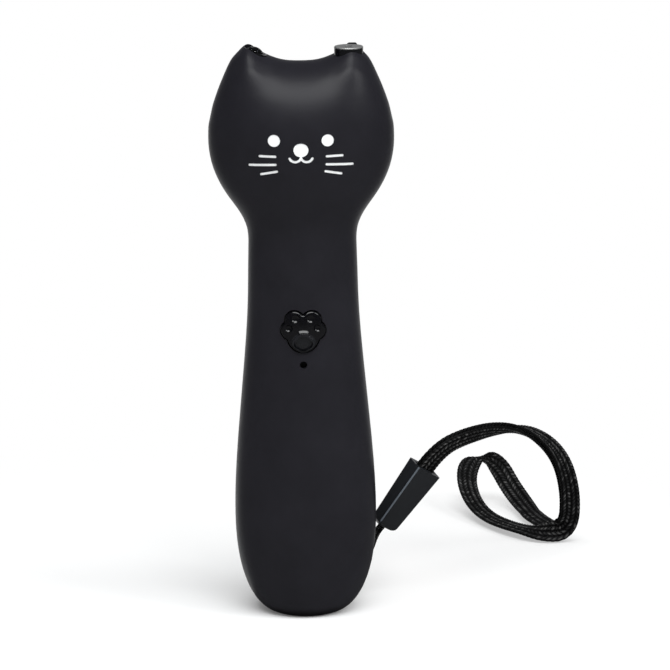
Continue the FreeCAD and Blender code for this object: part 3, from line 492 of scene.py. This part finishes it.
def braided_tube(name, line, radius):
    """A round tube along a line, slightly lumpy where the strands cross."""
    points = resampled(line, braid_step * MM)
    vertices = []
    for number, (place, (side, other)) in enumerate(zip(points, round_frames(points))):
        along = number * braid_step
        for corner in range(cord_sides):
            angle = 2 * math.pi * corner / cord_sides
            lump = (lump_share * math.cos(lumps_round * angle + along * lumps_along)
                    * math.cos(lumps_round * angle - along * lumps_along))
            reach = radius * (1.0 + lump)
            vertices.append(place + (side * math.cos(angle) + other * math.sin(angle)) * reach)
    sides = [(corner * side_in_map, (corner + 1) * side_in_map) for corner in range(cord_sides)]
    rows = [number * braid_step for number in range(len(points))]
    faces, uvs = swept_faces(0, sides, rows)
    return mesh_piece(name, vertices, faces, uvs)


thin_cord = braided_tube("thin_cord", cord_line, cord_radius)
finish_soft(thin_cord)
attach(thin_cord, "housing")
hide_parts("strap_cord")
print("thin cord %.1f mm" % (run_lengths(cord_line)[-1] / MM))

# %% [markdown]
# ## The tab behind the laser's end
#
# A small black tab stands up behind the silver end and keeps it in its sleeve. It is a block with
# rounded edges, 2.7 mm wide. It rises from the rear shell, and its front touches the end.

# %% Tab of the sleeve
cap_low, cap_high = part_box("laser_cap")
tab_size = (2.7 * MM, 1.4 * MM, 3.4 * MM)
tab_shift = 0.9 * MM
tab_rise = 0.25 * MM
tab_rounding = 0.65 * MM
tab_segments = 4
tab_crease = math.radians(40)
tab_place = ((cap_low[0] + cap_high[0]) / 2.0 + tab_shift, cap_high[1] + tab_size[1] / 2.0,
             cap_high[2] + tab_rise - tab_size[2] / 2.0)
bpy.ops.object.select_all(action="DESELECT")
bpy.ops.mesh.primitive_cube_add(size=1.0, location=tab_place)
tab = bpy.context.object
tab.name = "sleeve_tab"
tab.scale = tab_size
bpy.ops.object.transform_apply(location=True, rotation=True, scale=True)
rounding = tab.modifiers.new("rounding", "BEVEL")
rounding.width = tab_rounding
rounding.segments = tab_segments
bpy.ops.object.modifier_apply(modifier="rounding")
bpy.ops.object.shade_smooth_by_angle(angle=tab_crease)
tab.select_set(False)
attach(tab, "housing")
print("tab of the sleeve at", [round(value / MM, 2) for value in tab_place])

# %% [markdown]
# ## Building node trees in plain steps
#
# A material is a small tree of nodes. These helpers add a node, join it, and do one sum at a time,
# so that the finishes further down read as short recipes.

# %% Helpers for nodes and sums
def add_node(tree, kind, **settings):
    """A new node of this kind in the tree, with these settings."""
    node = tree.nodes.new(kind)
    for key, value in settings.items():
        setattr(node, key, value)
    return node


def feed(tree, socket, value):
    """Joins an output to a socket, or sets the socket's own value."""
    if isinstance(value, bpy.types.NodeSocket):
        tree.links.new(value, socket)
    else:
        socket.default_value = value


def sum_of(tree, operation, first, second=0.0):
    """One step of arithmetic. A step that needs only one number doesn't use the second."""
    node = add_node(tree, "ShaderNodeMath", operation=operation)
    feed(tree, node.inputs[0], first)
    feed(tree, node.inputs[1], second)
    return node.outputs[0]


def squares(tree, first, second):
    """first times first, plus second times second."""
    return sum_of(tree, "ADD", sum_of(tree, "MULTIPLY", first, first),
                  sum_of(tree, "MULTIPLY", second, second))


def parts_of(tree, vector):
    """The X, Y and Z of a vector, by name."""
    node = add_node(tree, "ShaderNodeSeparateXYZ")
    feed(tree, node.inputs[0], vector)
    return node.outputs


def distance_from(tree, place, centre):
    """How far a place is from a fixed centre."""
    node = add_node(tree, "ShaderNodeVectorMath", operation="DISTANCE")
    feed(tree, node.inputs[0], place)
    node.inputs[1].default_value = centre
    return node.outputs["Value"]


print("helpers for nodes and sums are ready")

# %% Helpers for masks, colours and bumps
def share_between(tree, value, low, high, first=0.0, second=1.0, kind="SMOOTHSTEP"):
    """A number that goes from first to second while value goes from low to high."""
    node = add_node(tree, "ShaderNodeMapRange", interpolation_type=kind)
    feed(tree, node.inputs["Value"], value)
    for label, number in (("From Min", low), ("From Max", high), ("To Min", first), ("To Max", second)):
        node.inputs[label].default_value = number
    return node.outputs["Result"]


def ramp(tree, value, stops):
    """A colour that follows value through the stops, each a place and a colour."""
    node = add_node(tree, "ShaderNodeValToRGB")
    while len(node.color_ramp.elements) < len(stops):
        node.color_ramp.elements.new(0.5)
    for element, (place, colour) in zip(node.color_ramp.elements, stops):
        element.position = place
        element.color = (*colour, 1.0)
    feed(tree, node.inputs[0], value)
    return node.outputs[0]


def bump(tree, height, distance, under=None):
    """A normal bent by a height, on the surface itself or on top of the normal under it."""
    node = add_node(tree, "ShaderNodeBump")
    node.inputs["Distance"].default_value = distance
    feed(tree, node.inputs["Height"], height)
    if under is not None:
        feed(tree, node.inputs["Normal"], under)
    return node.outputs["Normal"]


def place_in_object(tree):
    """Where a point of a piece is, in metres from the origin that all the pieces share."""
    return add_node(tree, "ShaderNodeTexCoord").outputs["Object"]


print("helpers for masks, colours and bumps are ready")

# %% Helpers for groups and materials
FLOAT, VECTOR = "NodeSocketFloat", "NodeSocketVector"
# A Mix node has sockets A, B and Result for each kind of value. These are the ones for colours.
MIX_FIRST, MIX_SECOND, MIX_RESULT = 6, 7, 2


def group_with(name, inputs, outputs):
    """A new node group. An input is its name, its kind and the value it starts with."""
    tree = bpy.data.node_groups.new(name, "ShaderNodeTree")
    for label, kind, start in inputs:
        socket = tree.interface.new_socket(label, in_out="INPUT", socket_type=kind)
        if start is not None:
            socket.default_value = start
    for label in outputs:
        tree.interface.new_socket(label, in_out="OUTPUT", socket_type=FLOAT)
    return tree, tree.nodes.new("NodeGroupInput").outputs, tree.nodes.new("NodeGroupOutput").inputs


def use_group(tree, group, **values):
    """Puts a group in a tree and feeds its inputs. An underscore stands for a space in a name."""
    node = add_node(tree, "ShaderNodeGroup")
    node.node_tree = group
    for key, value in values.items():
        feed(tree, node.inputs[key.replace("_", " ")], value)
    return node.outputs


def new_material(name):
    """A new material, its node tree and the inputs of its shader."""
    material = bpy.data.materials.new(name)
    material.use_nodes = True
    tree = material.node_tree
    return material, tree, tree.nodes["Principled BSDF"].inputs


def tinted(material, share, colour):
    """Mixes another colour into a material's own, by a share."""
    tree = material.node_tree
    base = tree.nodes["Principled BSDF"].inputs["Base Color"]
    mixed = add_node(tree, "ShaderNodeMix", data_type="RGBA")
    feed(tree, mixed.inputs["Factor"], share)
    feed(tree, mixed.inputs[MIX_FIRST], base.links[0].from_socket)
    mixed.inputs[MIX_SECOND].default_value = (*colour, 1.0)
    feed(tree, base, mixed.outputs[MIX_RESULT])


print("helpers for groups and materials are ready")

# %% [markdown]
# ## Effects that several finishes share
#
# Moulded plastic has a fine spark-eroded grain and a faint unevenness from handling. The group below
# gives both: a height for the bump, and a mask of soft patches for colour and gloss. Its two sizes
# are in grains and patches per metre, so every material can set its own.

# %% Fine grain
grain, grain_in, grain_out = group_with(
    "moulded_grain",
    [("Place", VECTOR, None), ("Grain size", FLOAT, 4000.0), ("Patch size", FLOAT, 60.0)],
    ["Height", "Patches"])
fine = add_node(grain, "ShaderNodeTexNoise")
feed(grain, fine.inputs["Vector"], grain_in["Place"])
feed(grain, fine.inputs["Scale"], grain_in["Grain size"])
fine.inputs["Detail"].default_value = 2.0
coarse = add_node(grain, "ShaderNodeTexNoise")
feed(grain, coarse.inputs["Vector"], grain_in["Place"])
feed(grain, coarse.inputs["Scale"], grain_in["Patch size"])
coarse.inputs["Detail"].default_value = 4.0
coarse.inputs["Roughness"].default_value = 0.6
feed(grain, grain_out["Height"], fine.outputs[0])
feed(grain, grain_out["Patches"], coarse.outputs[0])
print("group:", grain.name)

# %% [markdown]
# Metal that was turned on a lathe shows rings round its axis. The group measures the distance from
# an axis along Z and puts out fine rings.

# %% Turned rings
rings, rings_in, rings_out = group_with(
    "turned_rings",
    [("Place", VECTOR, None), ("Axis X", FLOAT, 0.0), ("Axis Y", FLOAT, 0.0),
     ("Ring pitch", FLOAT, 0.2 * MM)],
    ["Height"])
parts = parts_of(rings, rings_in["Place"])
off_x = sum_of(rings, "SUBTRACT", parts["X"], rings_in["Axis X"])
off_y = sum_of(rings, "SUBTRACT", parts["Y"], rings_in["Axis Y"])
from_axis = sum_of(rings, "SQRT", squares(rings, off_x, off_y))
turns = sum_of(rings, "DIVIDE", from_axis, rings_in["Ring pitch"])
feed(rings, rings_out["Height"], sum_of(rings, "SINE", sum_of(rings, "MULTIPLY", turns, 2 * math.pi)))
print("group:", rings.name)

# %% [markdown]
# ## The weave
#
# The group takes the UV map in millimetres and finds the row of Vs, its half column and the stitch
# that a point is in, just as the mesh did. It puts out the stitch's rounded height with its single
# filaments on it, a random shade for each stitch, and a mask of its crown.

# %% Where in the weave a point is
weave, weave_in, weave_out = group_with(
    "knitted_rows",
    [("Place", VECTOR, None), ("Half column", FLOAT, half_column / MM),
     ("Stitch length", FLOAT, stitch_length / MM), ("Slant", FLOAT, stitch_slant)],
    ["Height", "Shade", "Crown"])
parts = parts_of(weave, weave_in["Place"])
columns = sum_of(weave, "DIVIDE", sum_of(weave, "DIVIDE", parts["X"], 2.0), weave_in["Half column"])
row = sum_of(weave, "ADD", columns, 0.5)
in_row = sum_of(weave, "SUBTRACT", sum_of(weave, "FRACT", row), 0.5)
half = sum_of(weave, "MULTIPLY", sum_of(weave, "ABSOLUTE", in_row), 2.0)
stitch = sum_of(weave, "ADD", sum_of(weave, "DIVIDE", parts["Y"], weave_in["Stitch length"]),
                sum_of(weave, "MULTIPLY", half, weave_in["Slant"]))
in_stitch = sum_of(weave, "SUBTRACT", sum_of(weave, "FRACT", stitch), 0.5)
print("group:", weave.name)

# %% A stitch's height, shade and crown
paint_fall_across = 3.4
paint_fall_along = 3.8
filament_count = 6.0
filament_rise = 0.06
rib_power = 2.2
knot_power = 1.4
rib_share = 0.30


def rounded(from_middle, fall):
    """1 in the middle of a stitch, and less by the square of the way to its side."""
    squared = sum_of(weave, "MULTIPLY", from_middle, from_middle)
    return sum_of(weave, "SUBTRACT", 1.0, sum_of(weave, "MULTIPLY", fall, squared))


def powered(value, power):
    """A value to a power, where less than 0 counts as 0."""
    return sum_of(weave, "POWER", sum_of(weave, "MAXIMUM", value, 0.0), power)


over_width = rounded(sum_of(weave, "SUBTRACT", half, 0.5), paint_fall_across)
over_length = rounded(in_stitch, paint_fall_along)
pillow = sum_of(weave, "MULTIPLY", over_width, over_length)
filaments = sum_of(weave, "SINE", sum_of(weave, "MULTIPLY", in_stitch, filament_count * 2 * math.pi))
feed(weave, weave_out["Height"], sum_of(weave, "ADD", pillow,
                                        sum_of(weave, "MULTIPLY", filaments, filament_rise)))

cell = add_node(weave, "ShaderNodeCombineXYZ")
row_number = sum_of(weave, "MULTIPLY", sum_of(weave, "FLOOR", row), 2.0)
feed(weave, cell.inputs[0], sum_of(weave, "ADD", row_number, sum_of(weave, "SIGN", in_row)))
feed(weave, cell.inputs[1], sum_of(weave, "FLOOR", stitch))
random = add_node(weave, "ShaderNodeTexWhiteNoise", noise_dimensions="2D")
feed(weave, random.inputs["Vector"], cell.outputs[0])
feed(weave, weave_out["Shade"], random.outputs["Value"])

knot = sum_of(weave, "MULTIPLY", powered(over_length, knot_power), 1.0 - rib_share)
feed(weave, weave_out["Crown"], sum_of(weave, "MULTIPLY", powered(over_width, rib_power),
                                       sum_of(weave, "ADD", rib_share, knot)))
print("the weave puts out:", [socket.name for socket in weave_out if socket.name])

# %% [markdown]
# ## Finishes
#
# The housing is soft black plastic: dark, half matt, with a grain that is only just felt. The colour
# stays below a fiftieth of white, and the patches change its gloss a little, as hands do. The other
# plastics follow the same recipe, each with a colour, a gloss and a grain of its own.

# %% Plastics
PATCH_LOW, PATCH_HIGH = 0.3, 0.7
PATCH_DARK, PATCH_PALE = 0.88, 1.12
PATCH_SIZE = 70.0
COAT_ROUGHNESS = 0.06


def moulded(name, colour, roughness, spread, grain_size, grain_depth, shine=0.5, coat=0.0):
    """Plastic with a base colour, a gloss that varies by its patches, and a fine grain."""
    material, tree, shader = new_material(name)
    effect = use_group(tree, grain, Place=place_in_object(tree), Grain_size=grain_size,
                       Patch_size=PATCH_SIZE)
    darker = tuple(channel * PATCH_DARK for channel in colour)
    lighter = tuple(min(1.0, channel * PATCH_PALE) for channel in colour)
    feed(tree, shader["Base Color"], ramp(tree, effect["Patches"], [(PATCH_LOW, darker),
                                                                    (PATCH_HIGH, lighter)]))
    feed(tree, shader["Roughness"], share_between(tree, effect["Patches"], PATCH_LOW, PATCH_HIGH,
                                                  roughness - spread, roughness + spread, "LINEAR"))
    shader["Specular IOR Level"].default_value = shine
    shader["Coat Weight"].default_value = coat
    shader["Coat Roughness"].default_value = COAT_ROUGHNESS
    feed(tree, shader["Normal"], bump(tree, effect["Height"], grain_depth))
    return material


soft_black = moulded("soft_black_housing", (0.0125, 0.0120, 0.0160), roughness=0.42, spread=0.03,
                     grain_size=5200.0, grain_depth=4 * MICRON, shine=0.20)
gloss_black = moulded("gloss_black", (0.0016, 0.0016, 0.0026), roughness=0.15, spread=0.02,
                      grain_size=2600.0, grain_depth=0.5 * MICRON)
button_gloss = moulded("gloss_black_button", (0.0012, 0.0012, 0.0020), roughness=0.15, spread=0.02,
                       grain_size=2600.0, grain_depth=0.5 * MICRON)
face_white = moulded("white_fill", (0.88, 0.895, 0.90), roughness=0.42, spread=0.04,
                     grain_size=3000.0, grain_depth=2 * MICRON)
clip_black = moulded("clip_black", (0.0100, 0.0112, 0.0135), roughness=0.33, spread=0.03,
                     grain_size=4200.0, grain_depth=2 * MICRON, shine=0.4)
switch_black = moulded("switch_black", (0.02, 0.02, 0.02), roughness=0.4, spread=0.05,
                       grain_size=3800.0, grain_depth=4 * MICRON)
pipe_dark = moulded("dark_light_pipe", (0.0015, 0.0015, 0.0015), roughness=0.35, spread=0.02,
                    grain_size=2600.0, grain_depth=0.5 * MICRON, shine=0.1)
foam_grey = moulded("foam_grey", (0.07, 0.07, 0.07), roughness=0.9, spread=0.05,
                    grain_size=1500.0, grain_depth=80 * MICRON)
lead_red = moulded("lead_red", (0.45, 0.03, 0.025), roughness=0.4, spread=0.05,
                   grain_size=2500.0, grain_depth=4 * MICRON)
led_cream = moulded("led_cream", (0.85, 0.80, 0.50), roughness=0.25, spread=0.05,
                    grain_size=2500.0, grain_depth=2 * MICRON, coat=0.4)
cell_wrap = moulded("cell_wrap", (0.06, 0.20, 0.42), roughness=0.3, spread=0.05,
                    grain_size=2000.0, grain_depth=2 * MICRON, coat=0.3)
print("plastics:", len(bpy.data.materials))

# %% [markdown]
# The clip's front edge, the rounded edge between the front face and the left face, carries a
# painted highlight: a pale line a millimetre wide in its colour, where a lamp would be mirrored. The
# line is found by the way the surface faces: only that rounded edge looks that way. The housing's
# lowest three millimetres are painted darker than the rest, as painted shade where the foot fades
# into its own shadow.

# %% Painted highlight on the clip's ridge and painted shade at the housing's foot
ridge_way = (-0.21, -0.965, 0.155)
ridge_start, ridge_full = 0.91, 0.985
# Colour of the painted highlight on the clip's ridge.
painted_ridge_highlight = (0.115, 0.132, 0.155)
foot_full, foot_end = 0.4 * MM, 3.2 * MM
# Colour of the painted shade at the housing's foot.
painted_foot_shade = (0.0004, 0.0004, 0.0005)

tree = clip_black.node_tree
facing = add_node(tree, "ShaderNodeVectorMath", operation="DOT_PRODUCT")
feed(tree, facing.inputs[0], add_node(tree, "ShaderNodeTexCoord").outputs["Normal"])
facing.inputs[1].default_value = ridge_way
# Painted highlight: the clip's colour turns pale along its rounded ridge.
tinted(clip_black, share_between(tree, facing.outputs["Value"], ridge_start, ridge_full), painted_ridge_highlight)

tree = soft_black.node_tree
height = parts_of(tree, place_in_object(tree))["Z"]
# Painted shade: the housing's colour darkens over its lowest three millimetres.
tinted(soft_black, share_between(tree, height, foot_full, foot_end, 1.0, 0.0), painted_foot_shade)
print("tinted:", clip_black.name, soft_black.name)

# %% [markdown]
# The button is nearly the same gloss black as the ear rims. Above its pad runs a low lip, finer than
# the solids show, whose upper slope catches the front lamp as a short bright bar. A bump is enough
# for it: an even slope along an arc, faded out at both ends. The sunk pad is made a little paler
# than the rest.

# %% Lip above the button's pad, and its paler pad
lip_centre_x, lip_centre_z, lip_radius = 0.08 * MM, 73.26 * MM, 3.97 * MM
lip_half_width = 0.32 * MM
lip_height = 0.40 * MM
lip_full, lip_end = 1.15 * MM, 1.60 * MM
lip_onset = 1.0 * MM
pad_full, pad_end = 0.85, 1.10
pad_centre_z, pad_half_width, pad_half_height = 74.5 * MM, 3.1 * MM, 2.35 * MM
pad_paler = (0.0085, 0.0090, 0.0108)

tree = button_gloss.node_tree
parts = parts_of(tree, place_in_object(tree))
lip_x = sum_of(tree, "SUBTRACT", parts["X"], lip_centre_x)
lip_z = sum_of(tree, "SUBTRACT", parts["Z"], lip_centre_z)
lip_distance = sum_of(tree, "SQRT", squares(tree, lip_x, lip_z))
slope = share_between(tree, lip_distance, lip_radius - lip_half_width, lip_radius + lip_half_width,
                      1.0, 0.0, "LINEAR")
inside = share_between(tree, lip_distance, lip_radius - 3 * lip_half_width, lip_radius - lip_half_width)
within = share_between(tree, sum_of(tree, "ABSOLUTE", lip_x), lip_full, lip_end, 1.0, 0.0)
above = share_between(tree, lip_z, 0.0, lip_onset)
lip = sum_of(tree, "MULTIPLY", slope, inside)
lip = sum_of(tree, "MULTIPLY", sum_of(tree, "MULTIPLY", lip, within), above)
normal = tree.nodes["Principled BSDF"].inputs["Normal"]
feed(tree, normal, bump(tree, lip, lip_height, under=normal.links[0].from_socket))

pad_x = sum_of(tree, "DIVIDE", lip_x, pad_half_width)
pad_z = sum_of(tree, "DIVIDE", sum_of(tree, "SUBTRACT", parts["Z"], pad_centre_z), pad_half_height)
from_pad = squares(tree, pad_x, pad_z)
# The sunk pad's colour is made a little paler than the rest of the button.
tinted(button_gloss, share_between(tree, from_pad, pad_full, pad_end, 1.0, 0.0), pad_paler)
print("lip of the button: %.2f mm high" % (lip_height / MM))

# %% [markdown]
# The metal finishes differ in colour and in how they were made: the silver end and the brass barrel
# are turned, so they get rings about the laser's axis. The screws and the socket are plain steel,
# with faint rings about the toy's own axis that pass for the marks of a tool.

# %% Metals
METAL_DARK = 0.85
METAL_PATCH_SIZE = 200.0


def turned_metal(name, colour, roughness, axis, pitch, depth):
    """Metal with rings round an axis along Z. axis and pitch are in millimetres."""
    material, tree, shader = new_material(name)
    shader["Metallic"].default_value = 1.0
    place = place_in_object(tree)
    effect = use_group(tree, rings, Place=place, Axis_X=axis[0] * MM, Axis_Y=axis[1] * MM,
                       Ring_pitch=pitch * MM)
    patches = use_group(tree, grain, Place=place, Patch_size=METAL_PATCH_SIZE)
    darker = tuple(channel * METAL_DARK for channel in colour)
    feed(tree, shader["Base Color"], ramp(tree, patches["Patches"], [(PATCH_LOW, darker),
                                                                     (PATCH_HIGH, colour)]))
    shader["Roughness"].default_value = roughness
    feed(tree, shader["Normal"], bump(tree, effect["Height"], depth))
    return material


laser_axis = (12.45, -1.0)
toy_axis = (0.0, 0.0)
silver = turned_metal("turned_silver", (0.55, 0.55, 0.54), roughness=0.52, axis=laser_axis, pitch=0.16,
                      depth=2 * MICRON)
brass = turned_metal("turned_brass", (0.70, 0.48, 0.20), roughness=0.28, axis=laser_axis, pitch=0.3,
                     depth=2 * MICRON)
steel = turned_metal("plain_steel", (0.52, 0.52, 0.53), roughness=0.34, axis=toy_axis, pitch=0.25,
                     depth=1 * MICRON)
print("metals:", silver.name, brass.name, steel.name)

# %% [markdown]
# The lens and the window are clear plastic. Light goes through them, so the material only needs
# transmission and a low roughness. The circuit boards are green lacquer over copper tracks, drawn by
# a brick pattern that lifts the lacquer slightly.

# %% Clear plastic and circuit boards
clear_patch_size = 120.0
clear_roughness = 0.08
track_rise = 20 * MICRON

clear, tree, shader = new_material("clear_plastic")
effect = use_group(tree, grain, Place=place_in_object(tree), Patch_size=clear_patch_size)
shader["Transmission Weight"].default_value = 1.0
shader["IOR"].default_value = 1.49
shader["Base Color"].default_value = (0.93, 0.95, 0.97, 1.0)
feed(tree, shader["Roughness"], sum_of(tree, "MULTIPLY", effect["Patches"], clear_roughness))

board, tree, shader = new_material("board_green")
tracks = add_node(tree, "ShaderNodeTexBrick")
feed(tree, tracks.inputs["Vector"], place_in_object(tree))
tracks.inputs["Color1"].default_value = (0.010, 0.095, 0.040, 1)
tracks.inputs["Color2"].default_value = (0.012, 0.115, 0.050, 1)
tracks.inputs["Mortar"].default_value = (0.030, 0.190, 0.085, 1)
tracks.inputs["Scale"].default_value = 260.0
tracks.inputs["Mortar Size"].default_value = 0.06
feed(tree, shader["Base Color"], tracks.outputs["Color"])
shader["Roughness"].default_value = 0.3
feed(tree, shader["Normal"], bump(tree, tracks.outputs["Fac"], track_rise))
print("made:", clear.name, board.name)

# %% [markdown]
# ## Woven black
#
# Polyester thread is black with a soft shine. The crowns of the stitches catch light, the gaps
# between them stay dark, and single stitches differ a little. A ramp paints that light into the
# colour: a painted highlight on the crowns and painted shade in the gaps, with a random tone for each
# stitch. The gloss is tighter on the crowns, and the filaments on each stitch are a bump.

# %% Webbing and braid
# Colours from painted shade in the gaps to a painted highlight on the crowns.
painted_glints_and_gaps = [(0.0, (0.0006, 0.0006, 0.0006)), (0.22, (0.0030, 0.0030, 0.0030)),
                 (0.55, (0.024, 0.024, 0.0245)), (1.0, (0.105, 0.103, 0.100))]
least_shade = 0.35
gap_roughness = 0.60
crown_gloss = 0.25


def woven(name, half_width, length, slant, depth):
    """Black thread. half_width and length are a stitch's size in millimetres."""
    material, tree, shader = new_material(name)
    uv = add_node(tree, "ShaderNodeUVMap", uv_map="weave")
    effect = use_group(tree, weave, Place=uv.outputs["UV"], Half_column=half_width,
                       Stitch_length=length, Slant=slant)
    stitch_shade = sum_of(tree, "MULTIPLY", effect["Shade"], 1.0 - least_shade)
    crown_glint_tone = sum_of(tree, "MULTIPLY", effect["Crown"], sum_of(tree, "ADD", least_shade, stitch_shade))
    # Painted highlight on the crowns and painted shade in the gaps, set into the colour.
    feed(tree, shader["Base Color"], ramp(tree, crown_glint_tone, painted_glints_and_gaps))
    feed(tree, shader["Roughness"], sum_of(tree, "SUBTRACT", gap_roughness,
                                           sum_of(tree, "MULTIPLY", crown_glint_tone, crown_gloss)))
    shader["Specular IOR Level"].default_value = 0.12
    feed(tree, shader["Normal"], bump(tree, effect["Height"], depth))
    return material


webbing = woven("woven_webbing", half_width=half_column / MM, length=stitch_length / MM,
                slant=stitch_slant, depth=120 * MICRON)
braid = woven("braided_cord", half_width=0.4, length=0.55, slant=1.0, depth=100 * MICRON)
print("woven:", webbing.name, braid.name)

# %% [markdown]
# ## Giving each piece its finish
#
# Each solid keeps its mesh and gets its material in its own slot.

# %% Assign finishes
finishes = {
    soft_black: ["front_shell", "rear_shell"],
    gloss_black: ["laser_sleeve", "lamp_rim"],
    button_gloss: ["paw_button"],
    face_white: ["face_inlay"],
    clip_black: ["strap_clip"],
    switch_black: ["switch_plunger", "board_chips", "socket_tongue"],
    pipe_dark: ["indicator_light_pipe"],
    foam_grey: ["battery_pad"],
    lead_red: ["laser_leads", "lamp_leads", "battery_leads", "charge_leads"],
    led_cream: ["indicator_led", "lamp_led"],
    cell_wrap: ["battery_cell"],
    silver: ["laser_cap"],
    brass: ["laser_barrel"],
    steel: ["switch_body", "laser_diode", "board_screws", "case_screws", "socket_shell"],
    clear: ["laser_window", "laser_lens", "lamp_lens"],
    board: ["laser_driver_board", "lamp_board", "main_board", "charge_board"],
}
for material, names in finishes.items():
    for name in names:
        slots = nodes[name].material_slots
        if len(slots) == 0:
            nodes[name].data.materials.append(material)
        for slot in slots:
            slot.material = material
for piece, material in ((band_arch, webbing), (band_loop, webbing), (thin_cord, braid),
                        (tab, pipe_dark)):
    piece.data.materials.append(material)
print("solids with a finish:", sum(len(names) for names in finishes.values()))

# %% [markdown]
# ## Floor and background
#
# The picture stands on pure white with a soft shadow. Near the toy the floor is partly lit by the
# lamps and partly white of its own, so the shadow stays pale. Further away it turns fully white, as
# a paper sweep does when it has a light to itself. To the right of the foot it is white sooner, and
# under the strap's loop it takes more of the lamps, so that the loop keeps its shadow. The world is
# white to the camera. What the toy mirrors is the paper behind it, and a dark room on its other
# sides, which is what keeps black plastic black.

# %% Helpers for the stage
def coloured(tree, kind, colour):
    """The output of a shader node of this kind, in this colour."""
    node = add_node(tree, kind)
    node.inputs["Color"].default_value = (*colour, 1.0)
    return node.outputs[0]


def mix_of(tree, share, first, second):
    """Two shaders in one, with this share of the second."""
    node = add_node(tree, "ShaderNodeMixShader")
    feed(tree, node.inputs[0], share)
    tree.links.new(first, node.inputs[1])
    tree.links.new(second, node.inputs[2])
    return node.outputs[0]


def rays_of(tree):
    """1 for rays from the camera, and 1 for rays that were mirrored or went through plastic."""
    path = add_node(tree, "ShaderNodeLightPath").outputs
    mirrored = sum_of(tree, "MAXIMUM", path["Is Glossy Ray"], path["Is Transmission Ray"])
    return path["Is Camera Ray"], mirrored


print("helpers for the stage are ready")

# %% Floor
shadow_centre = (-0.022, 0.010, 0.0)
shadow_reach = (15 * MM, 170 * MM)
shadow_white = 0.08
foot_side = (2 * MM, 28 * MM)
foot_side_white = 0.82
foot_reach = (55 * MM, 100 * MM)
loop_centre = (0.055, 0.085, 0.0)
loop_reach = (25 * MM, 60 * MM)
loop_white = 0.68
behind_start, behind_full = 0.6, 1.0
dark_share = 0.85

bpy.ops.object.select_all(action="DESELECT")
bpy.ops.mesh.primitive_plane_add(size=6.0, location=(0, 0, 0))
floor = bpy.context.object
floor.name = "floor"
floor_material = bpy.data.materials.new("pale_floor")
floor_material.use_nodes = True
tree = floor_material.node_tree
tree.nodes.clear()
output = add_node(tree, "ShaderNodeOutputMaterial")
paper_lit = coloured(tree, "ShaderNodeBsdfDiffuse", (0.93, 0.93, 0.93))
paper_white = coloured(tree, "ShaderNodeEmission", (1.0, 1.0, 1.0))
paper_dark = coloured(tree, "ShaderNodeEmission", (0.02, 0.02, 0.022))
seen, mirrored = rays_of(tree)
place = place_in_object(tree)
parts = parts_of(tree, place)
from_shadow = distance_from(tree, place, shadow_centre)
from_loop = distance_from(tree, place, loop_centre)
far_off = share_between(tree, from_shadow, *shadow_reach, shadow_white, 1.0)
to_the_right = share_between(tree, parts["X"], *foot_side, 0.0, foot_side_white)
by_foot = share_between(tree, from_shadow, *foot_reach, 1.0, 0.0)
right_of_foot = sum_of(tree, "MULTIPLY", to_the_right, by_foot)
under_loop = share_between(tree, from_loop, *loop_reach, loop_white, 1.0)
own_white = sum_of(tree, "MULTIPLY", sum_of(tree, "MAXIMUM", right_of_foot, far_off), under_loop)
behind = share_between(tree, sum_of(tree, "DIVIDE", parts["Y"], from_shadow), behind_start, behind_full)
shown = sum_of(tree, "MAXIMUM", seen, sum_of(tree, "MULTIPLY", mirrored, behind))
lit = mix_of(tree, sum_of(tree, "MULTIPLY", shown, own_white), paper_lit, paper_white)
unlit = sum_of(tree, "MULTIPLY", sum_of(tree, "MULTIPLY", mirrored, dark_share),
               sum_of(tree, "SUBTRACT", 1.0, behind))
tree.links.new(mix_of(tree, unlit, lit, paper_dark), output.inputs["Surface"])
floor.data.materials.append(floor_material)
print("floor:", floor_material.name)

# %% World
back_reach = (0.75, 1.0)
low_reach = (0.15, 0.45)

world = bpy.data.worlds.new("studio")
bpy.context.scene.world = world
world.use_nodes = True
tree = world.node_tree
tree.nodes.clear()
output = add_node(tree, "ShaderNodeOutputWorld")
paper = coloured(tree, "ShaderNodeBackground", (1.0, 1.0, 1.0))
far_paper = coloured(tree, "ShaderNodeBackground", (0.40, 0.40, 0.41))
dark_room = coloured(tree, "ShaderNodeBackground", (0.09, 0.092, 0.10))
fill = coloured(tree, "ShaderNodeBackground", (0.38, 0.38, 0.38))
seen, mirrored = rays_of(tree)
way = parts_of(tree, add_node(tree, "ShaderNodeTexCoord").outputs["Generated"])
at_back = share_between(tree, way["Y"], *back_reach)
low_down = share_between(tree, way["Z"], *low_reach, 1.0, 0.0)
room = mix_of(tree, sum_of(tree, "MULTIPLY", at_back, low_down), dark_room, far_paper)
unseen = mix_of(tree, mirrored, fill, room)
tree.links.new(mix_of(tree, seen, unseen, paper), output.inputs["Surface"])
bpy.context.scene.view_settings.view_transform = "Standard"
print("world:", world.name)

# %% [markdown]
# ## Lamps
#
# Two soft boxes do the work. The large one stands high in front and draws the broad soft light on the
# forehead and the small bright arcs on the button. The other stands at the right and throws the
# shadow to the left.

# %% Lamps
lamp_colour = (0.98, 0.995, 1.0)


def soft_lamp(name, place, aim, size, power):
    """A rectangular lamp that looks at its aim. size is its width and height, power is in watts."""
    bpy.ops.object.select_all(action="DESELECT")
    bpy.ops.object.light_add(type="AREA", location=place)
    lamp = bpy.context.object
    lamp.name = name
    lamp.data.shape = "RECTANGLE"
    lamp.data.size, lamp.data.size_y = size
    lamp.data.energy = power
    lamp.data.color = lamp_colour
    lamp.rotation_euler = (Vector(aim) - Vector(place)).to_track_quat("-Z", "Y").to_euler()
    print("lamp:", name, power, "W")


soft_lamp("front_box", place=(0.0, -0.54, 1.20), aim=(0.0, 0.0, 0.09), size=(1.10, 0.74), power=16.0)
soft_lamp("right_box", place=(0.85, -0.40, 0.75), aim=(0.0, 0.0, 0.07), size=(0.45, 0.45), power=4.0)

# %% The last line
print("the scene is set up")
